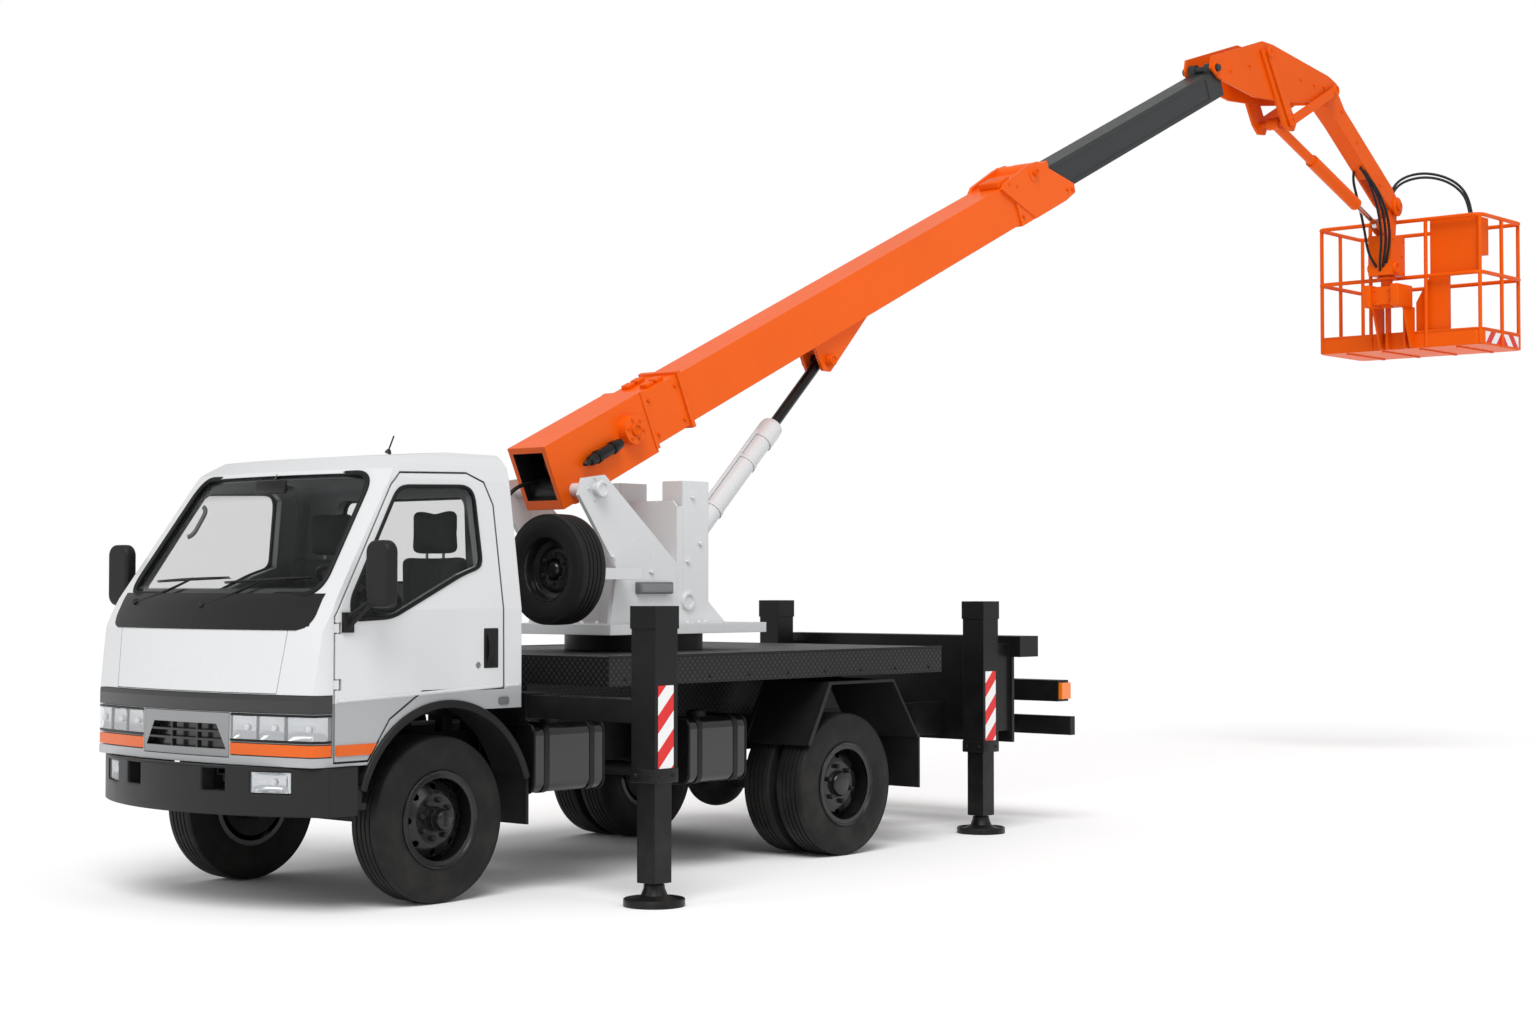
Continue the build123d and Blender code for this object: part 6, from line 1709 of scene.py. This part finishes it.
@dataclass
class Boom:
    """Fittings of the orange boom, placed by distance along it and height across it."""

    pivot: tuple[float, float] = (-1.500, 1.975)
    angle: float = math.radians(24.65)
    half: float = 0.120

    def at(self, u: float, v: float, y: float = 0.0) -> Point:
        """The point u along the boom and v above its pivot line."""
        c, s = math.cos(self.angle), math.sin(self.angle)
        return (self.pivot[0] - u * c + v * s, y, self.pivot[1] + u * s + v * c)

    def box(
        self, u: tuple[float, float], v: tuple[float, float], y: tuple[float, float], radius: float
    ) -> Shape:
        """A rounded box along the boom."""
        shape = rounded_box((u[0], y[0], v[0]), (u[1], y[1], v[1]), radius)
        c, s = math.cos(self.angle), math.sin(self.angle)
        u, y, v = shape.points.T
        return Shape(
            np.stack((self.pivot[0] - u * c + v * s, y, self.pivot[1] + u * s + v * c), -1), shape.faces
        )

    def build(self) -> None:
        """Bolts, caps, the lamp housing, the side accumulator and the pipe clips."""
        rows = []
        for u, v in ((0.735, 0.02), (0.735, 0.22), (0.965, 0.02), (0.965, 0.22)):
            rows.append(studs([self.at(u, v, self.half + 0.012)], (0, 1, 0), 0.012, 0.010))
        for u, v in ((4.60, 0.02), (4.60, 0.23), (5.16, 0.03), (4.52, 0.270), (5.22, 0.015)):
            rows.append(
                studs([self.at(u, v, self.half + (0.022 if u > 4.7 else 0.014))], (0, 1, 0), 0.013, 0.012)
            )
        rows.append(pin_cap(self.at(4.83, 0.2545, self.half + 0.034), (0, 1, 0), 0.028))
        rows.append(pin_cap(self.at(2.36, -0.15, 0.102), (0, 1, 0), 0.034))
        boss = [studs(ring_of(self.at(0.514, 0.135, 0.198), 0.058, 6, "xz"), (0, 1, 0), 0.009, 0.008),
                pin_cap(self.at(0.514, 0.135, 0.198), (0, 1, 0), 0.036)]
        lamp = self.box((4.44, 4.58), (0.262, 0.312), (-0.05, 0.115), 0.010)
        pads = [self.box((u - 0.03, u + 0.03), (v, v + 0.028), (y0, y1), 0.006)
                for u in (0.82, 0.90) for v, y0, y1 in ((0.268, -0.10, -0.04), (0.268, 0.04, 0.10))]
        joined([joined(rows).pair(), *boss, lamp, *pads]).build(
            "boom_fittings", ORANGE, "boom", "orange_paint"
        )
        c, s = math.cos(self.angle), math.sin(self.angle)
        store = turned(
            (
                (0.0, 0.012), (0.004, 0.026), (0.030, 0.031), (0.240, 0.031), (0.262, 0.026),
                (0.268, 0.016), (0.300, 0.014), (0.310, 0.008)
            ),
            self.at(0.40, 0.105, 0.176), (c, 0, -s), 28
        )
        clips = [
            turned(
                ((-0.012, 0.0315), (-0.012, 0.036), (0.012, 0.036), (0.012, 0.0315)),
                self.at(u, 0.105, 0.176), (c, 0, -s), 28, True
            )
            for u in (0.20, 0.33)
        ]
        straps = [self.box((u - 0.012, u + 0.012), (0.09, 0.12), (0.138, 0.150), 0.003) for u in (0.20, 0.33)]
        store.build("boom_accumulator", SATIN, "boom", "black_steel")
        joined(clips + straps).build("accumulator_clips", BLACK, "boom", "black_steel")
        wear = [self.box((4.985, 5.032), v, y, 0.004) for v, y in (
            ((0.2255, 0.240), (-0.085, 0.085)), ((0.004, 0.0185), (-0.085, 0.085)),
            ((0.04, 0.205), (0.0935, 0.108)), ((0.04, 0.205), (-0.108, -0.0935)))]
        joined(wear).build("boom_wear_pads", SATIN, "boom", "black_plastic")


@dataclass
class Jib:
    """Link bars, pin caps and bolts of the jib's head, arm and mount."""

    head_pin: tuple[float, float] = (-8.196, 5.318)
    knuckle: tuple[float, float] = (-10.020, 5.430)
    cross: tuple[float, float] = (-9.290, 5.075)
    end: tuple[float, float] = (-11.250, 4.650)
    top_lug: tuple[float, float] = (-8.960, 5.560)

    def link(
        self, start: tuple[float, float], end: tuple[float, float], half: float, y: tuple[float, float]
    ) -> Shape:
        """A flat bar with round ends between two pins."""
        a, b = np.array(start), np.array(end)
        lean = math.atan2(*(b - a)[::-1])
        turn = np.linspace(math.pi / 2, 3 * math.pi / 2, 13) + lean
        first = a + half * np.stack((np.cos(turn), np.sin(turn)), -1)
        last = b - half * np.stack((np.cos(turn), np.sin(turn)), -1)
        return plate(np.vstack((first, last)), "xz", *y)

    def build(self) -> None:
        """Dresses the head, the arm and the mount."""
        bars = self.link(
            self.cross, self.knuckle, 0.036, (0.140, 0.156)
        ) + self.link(self.top_lug, self.cross, 0.038, (0.138, 0.152))
        caps = [pin_cap((x, y, z), (0, 1, 0), r) for (x, z), y, r in (
            (self.head_pin, 0.118, 0.050), (self.knuckle, 0.150, 0.044), (self.cross, 0.152, 0.042),
            (self.top_lug, 0.150, 0.040))]
        bolts = studs(
            [
                (-8.42, 0.118, 5.335), (-8.70, 0.118, 5.42), (-9.50, 0.118, 5.44), (-9.72, 0.118, 5.43),
                (-9.88, 0.118, 5.44)
            ],
            (0, 1, 0), 0.013, 0.012
        )
        joined([bars, *caps, bolts]).pair().build("head_fittings", ORANGE, "head", "orange_paint")
        x, z = self.end
        arm = [pin_cap((x, 0.089, z), (0, 1, 0), 0.038),
               turned(((-0.002, 0.080), (0.012, 0.080), (0.017, 0.073), (0.017, 0.010)), (x, 0.065, z), (0,
               1, 0), 40),
               studs([(-10.28, 0.065, 5.31), (-10.55, 0.065, 5.10), (-10.95, 0.065, 4.80)], (0, 1, 0),
               0.012, 0.011)]
        joined(arm).pair().build("jib_fittings", ORANGE, "jib", "orange_paint")
        bolts = studs(
            [(-11.285, 0.105, 4.09), (-11.285, 0.105, 4.36), (-11.095, 0.105, 4.36), (-11.25, 0.105, 4.23)],
            (0, 1, 0), 0.011, 0.010
        )
        bolts = bolts + pin_cap((-11.135, 0.105, 4.125), (0, 1, 0), 0.050, 0.022)
        flange = turned(
            ((4.052, 0.050), (4.052, 0.078), (4.030, 0.078), (4.026, 0.050)), (-11.190, 0, 0), (0, 0, 1),
            36, True
        )
        (bolts.pair() + flange).build("mount_fittings", ORANGE, "mount", "orange_paint")


@dataclass
class Basket:
    """Stripes on the basket's ends, its collar, and the levers and button of the control box."""

    front_x: float = -11.400
    length: float = 0.800
    half: float = 0.740
    low: float = 3.465
    box_x: tuple[float, float] = (-11.680, -11.490)
    box_y: tuple[float, float] = (0.470, 0.680)
    box_top: float = 4.540

    def build(self) -> None:
        """Dresses the basket and its control box."""
        rear_x = self.front_x - self.length
        for side in Side:
            sign = plate(
                rectangle((rear_x + 0.075, self.front_x - 0.075), (self.low + 0.018, self.low + 0.112)),
                "xz", self.half - 0.001, self.half + 0.0012
            )
            sign.on(side).build(f"basket_stripes_{side.word}", CHEVRONS, "work_basket", "white_paint")
        lip = np.array(rounded(rectangle((rear_x, self.front_x), (-self.half, self.half)), 0.075, 7))
        path = np.stack((lip[:, 0], lip[:, 1], np.full(len(lip), self.low + 0.135)), -1)
        hem = sweep(path, circle(0.008, 8), (0, 0, 1), True)
        ribs = [
            rounded_box(
                (rear_x + 0.06, y - 0.015, self.low - 0.012),
                (self.front_x - 0.06, y + 0.015, self.low + 0.002), 0.005
            )
            for y in (-0.5, -0.17, 0.17, 0.5)
        ]
        bolts = studs([(-11.103, y, z) for y in (-0.06, 0.06) for z in (3.85, 3.94)], (1, 0, 0), 0.012, 0.010)
        cheek = rounded_box((-11.335, 0.088, 3.800), (-11.060, 0.165, 3.985), 0.012)
        foot = plate(
            np.array([(-11.335, 3.470), (-11.408, 3.470), (-11.408, 3.81), (-11.20, 3.81)]), "xz", 0.130,
            0.146
        )
        joined([hem, *ribs, bolts, cheek.pair(), foot.pair()]).build(
            "basket_fittings", ORANGE, "work_basket", "orange_paint"
        )
        x0, x1 = self.box_x
        panel = rounded_box(
            (x0 + 0.02, self.box_y[0] + 0.015, self.box_top - 0.004),
            (x1 - 0.02, self.box_y[1] - 0.015, self.box_top + 0.006), 0.004
        )
        levers = []
        for y in (0.505, 0.545, 0.585, 0.625):
            levers.append(
                sweep(
                    along((x0 + 0.07, y, self.box_top + 0.004), (x0 + 0.064, y, self.box_top + 0.018), 4),
                    circle(0.004, 8)
                )
            )
        button = turned(
            ((-0.002, 0.012), (0.006, 0.012), (0.006, 0.016), (0.012, 0.016), (0.014, 0.012)),
            (x1 - 0.05, 0.65, self.box_top + 0.004), (0, 0, 1), 24
        )
        knobs = [
            turned(
                ((-0.008, 0.003), (-0.005, 0.007), (0.002, 0.0085), (0.006, 0.006), (0.007, 0.002)),
                (x0 + 0.063, y, self.box_top + 0.018), (0, 0, 1), 16
            )
            for y in (0.505, 0.545, 0.585, 0.625)
        ]
        joined([panel, *levers, *knobs]).build("console_panel", PLASTIC, "work_basket", "black_plastic")
        # The stop button takes the red lens finish with its faint painted glow.
        button.build("stop_button", RED, "work_basket", "red_lamp")


# Stage


@dataclass
class Stage:
    """A pale floor, soft lights and the camera at the photograph's place."""

    eye: Point = (7.477, 9.234, 1.470)
    yaw: float = math.radians(40.767)
    pitch: float = math.radians(1.743)
    lens: float = 56.48
    sensor: float = 36.0
    surround: tuple[float, float] = (0.56, 1.0)
    sun_from: Point = (0.62, 0.50, 1.0)
    sun: float = 2.0
    sun_spread: float = math.radians(35.0)
    lights: tuple[tuple[str, Point, Point, float, float], ...] = (
        ("front", (9.0, -2.0, 5.0), (0.0, 0.0, 1.2), 4.0, 110.0),
        ("side", (-2.0, 11.0, 6.0), (-3.0, 0.0, 2.0), 5.0, 130.0),
    )

    def camera(self) -> None:
        """The camera, turned by its yaw and pitch with no shift."""
        data = bpy.data.cameras.new("camera")
        data.sensor_fit, data.sensor_width, data.lens = "HORIZONTAL", self.sensor, self.lens
        data.clip_end = 200
        camera = bpy.data.objects.new("camera", data)
        c, s = math.cos(self.pitch), math.sin(self.pitch)
        ahead = Vector((-math.cos(self.yaw) * c, -math.sin(self.yaw) * c, s))
        camera.location = Vector(self.eye) + Vector((AXLE_X, 0, 0))
        camera.rotation_euler = ahead.to_track_quat("-Z", "Y").to_euler()
        bpy.context.scene.collection.objects.link(camera)
        bpy.context.scene.camera = camera

    def floor(self) -> None:
        """A wide sheet under the wheels with a faint cloudiness."""
        board = Board("studio_floor")
        tint = board.mix(board.noise(0.4, 2.0), (0.97, 0.97, 0.97), (0.96, 0.96, 0.96))
        surface = board.node(
            "ShaderNodeBsdfPrincipled", None,
            {"Base Color": tint, "Roughness": 0.9, "Specular IOR Level": 0.0}
        )
        board.add("ShaderNodeOutputMaterial", None, {"Surface": surface})
        across, deep = np.meshgrid(np.linspace(-60, 60, 5), np.linspace(-60, 60, 5))
        sheet = skin(np.stack((across, deep, np.full_like(across, -0.0005)), -1))
        mesh = bpy.data.meshes.new("floor")
        mesh.from_pydata(sheet.points, [], sheet.faces)
        mesh.materials.append(board.material)
        floor = bpy.data.objects.new("floor", mesh)
        bpy.context.scene.collection.objects.link(floor)

    def light(self) -> None:
        """A wide sun, two square lamps for gloss and an even surround, which shows as a white backdrop."""
        for name, place, target, size, power in self.lights:
            data = bpy.data.lights.new(name, "AREA")
            data.size, data.energy = size, power
            lamp = bpy.data.objects.new(name, data)
            lamp.location = Vector(place) + Vector((AXLE_X, 0, 0))
            lamp.rotation_euler = (Vector(target) - Vector(place)).to_track_quat("-Z", "Y").to_euler()
            bpy.context.scene.collection.objects.link(lamp)
        data = bpy.data.lights.new("sun", "SUN")
        data.energy, data.angle = self.sun, self.sun_spread
        sun = bpy.data.objects.new("sun", data)
        sun.rotation_euler = Vector(self.sun_from).to_track_quat("Z", "Y").to_euler()
        bpy.context.scene.collection.objects.link(sun)
        world = bpy.data.worlds.new("surround")
        world.use_nodes = True
        backdrop = world.node_tree.nodes["Background"]
        backdrop.inputs["Color"].default_value = (1.0, 1.0, 1.0, 1.0)
        path = world.node_tree.nodes.new("ShaderNodeLightPath")
        level = world.node_tree.nodes.new("ShaderNodeMapRange")
        level.inputs["To Min"].default_value, level.inputs["To Max"].default_value = self.surround
        world.node_tree.links.new(path.outputs["Is Camera Ray"], level.inputs["Value"])
        world.node_tree.links.new(level.outputs["Result"], backdrop.inputs["Strength"])
        bpy.context.scene.world = world
        bpy.context.scene.view_settings.view_transform = "Standard"

    def build(self) -> None:
        """Camera, floor and lights."""
        self.camera()
        self.floor()
        self.light()


def paint_cad() -> None:
    """Gives each CAD node its finish."""
    for finish, nodes in CAD_FINISHES.items():
        for node in nodes:
            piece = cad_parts[node]
            piece.data.materials.clear()
            piece.data.materials.append(finish.material())
            LOG.info("%s: %s", node, finish.name)


def main() -> None:
    """Builds the scene in order."""
    logging.basicConfig(level=logging.INFO, format="%(name)s %(message)s")
    Stage().build()
    for hose in HOSES:
        hose.build()
    paint_cad()
    cab = Cab()
    cab.build()
    for side in Side:
        Door(side, cab).build()
    Seats().build()
    Wheels().build()
    Undergear().build()
    Turret().build()
    Boom().build()
    Jib().build()
    Basket().build()


if __name__ == "__main__":
    main()
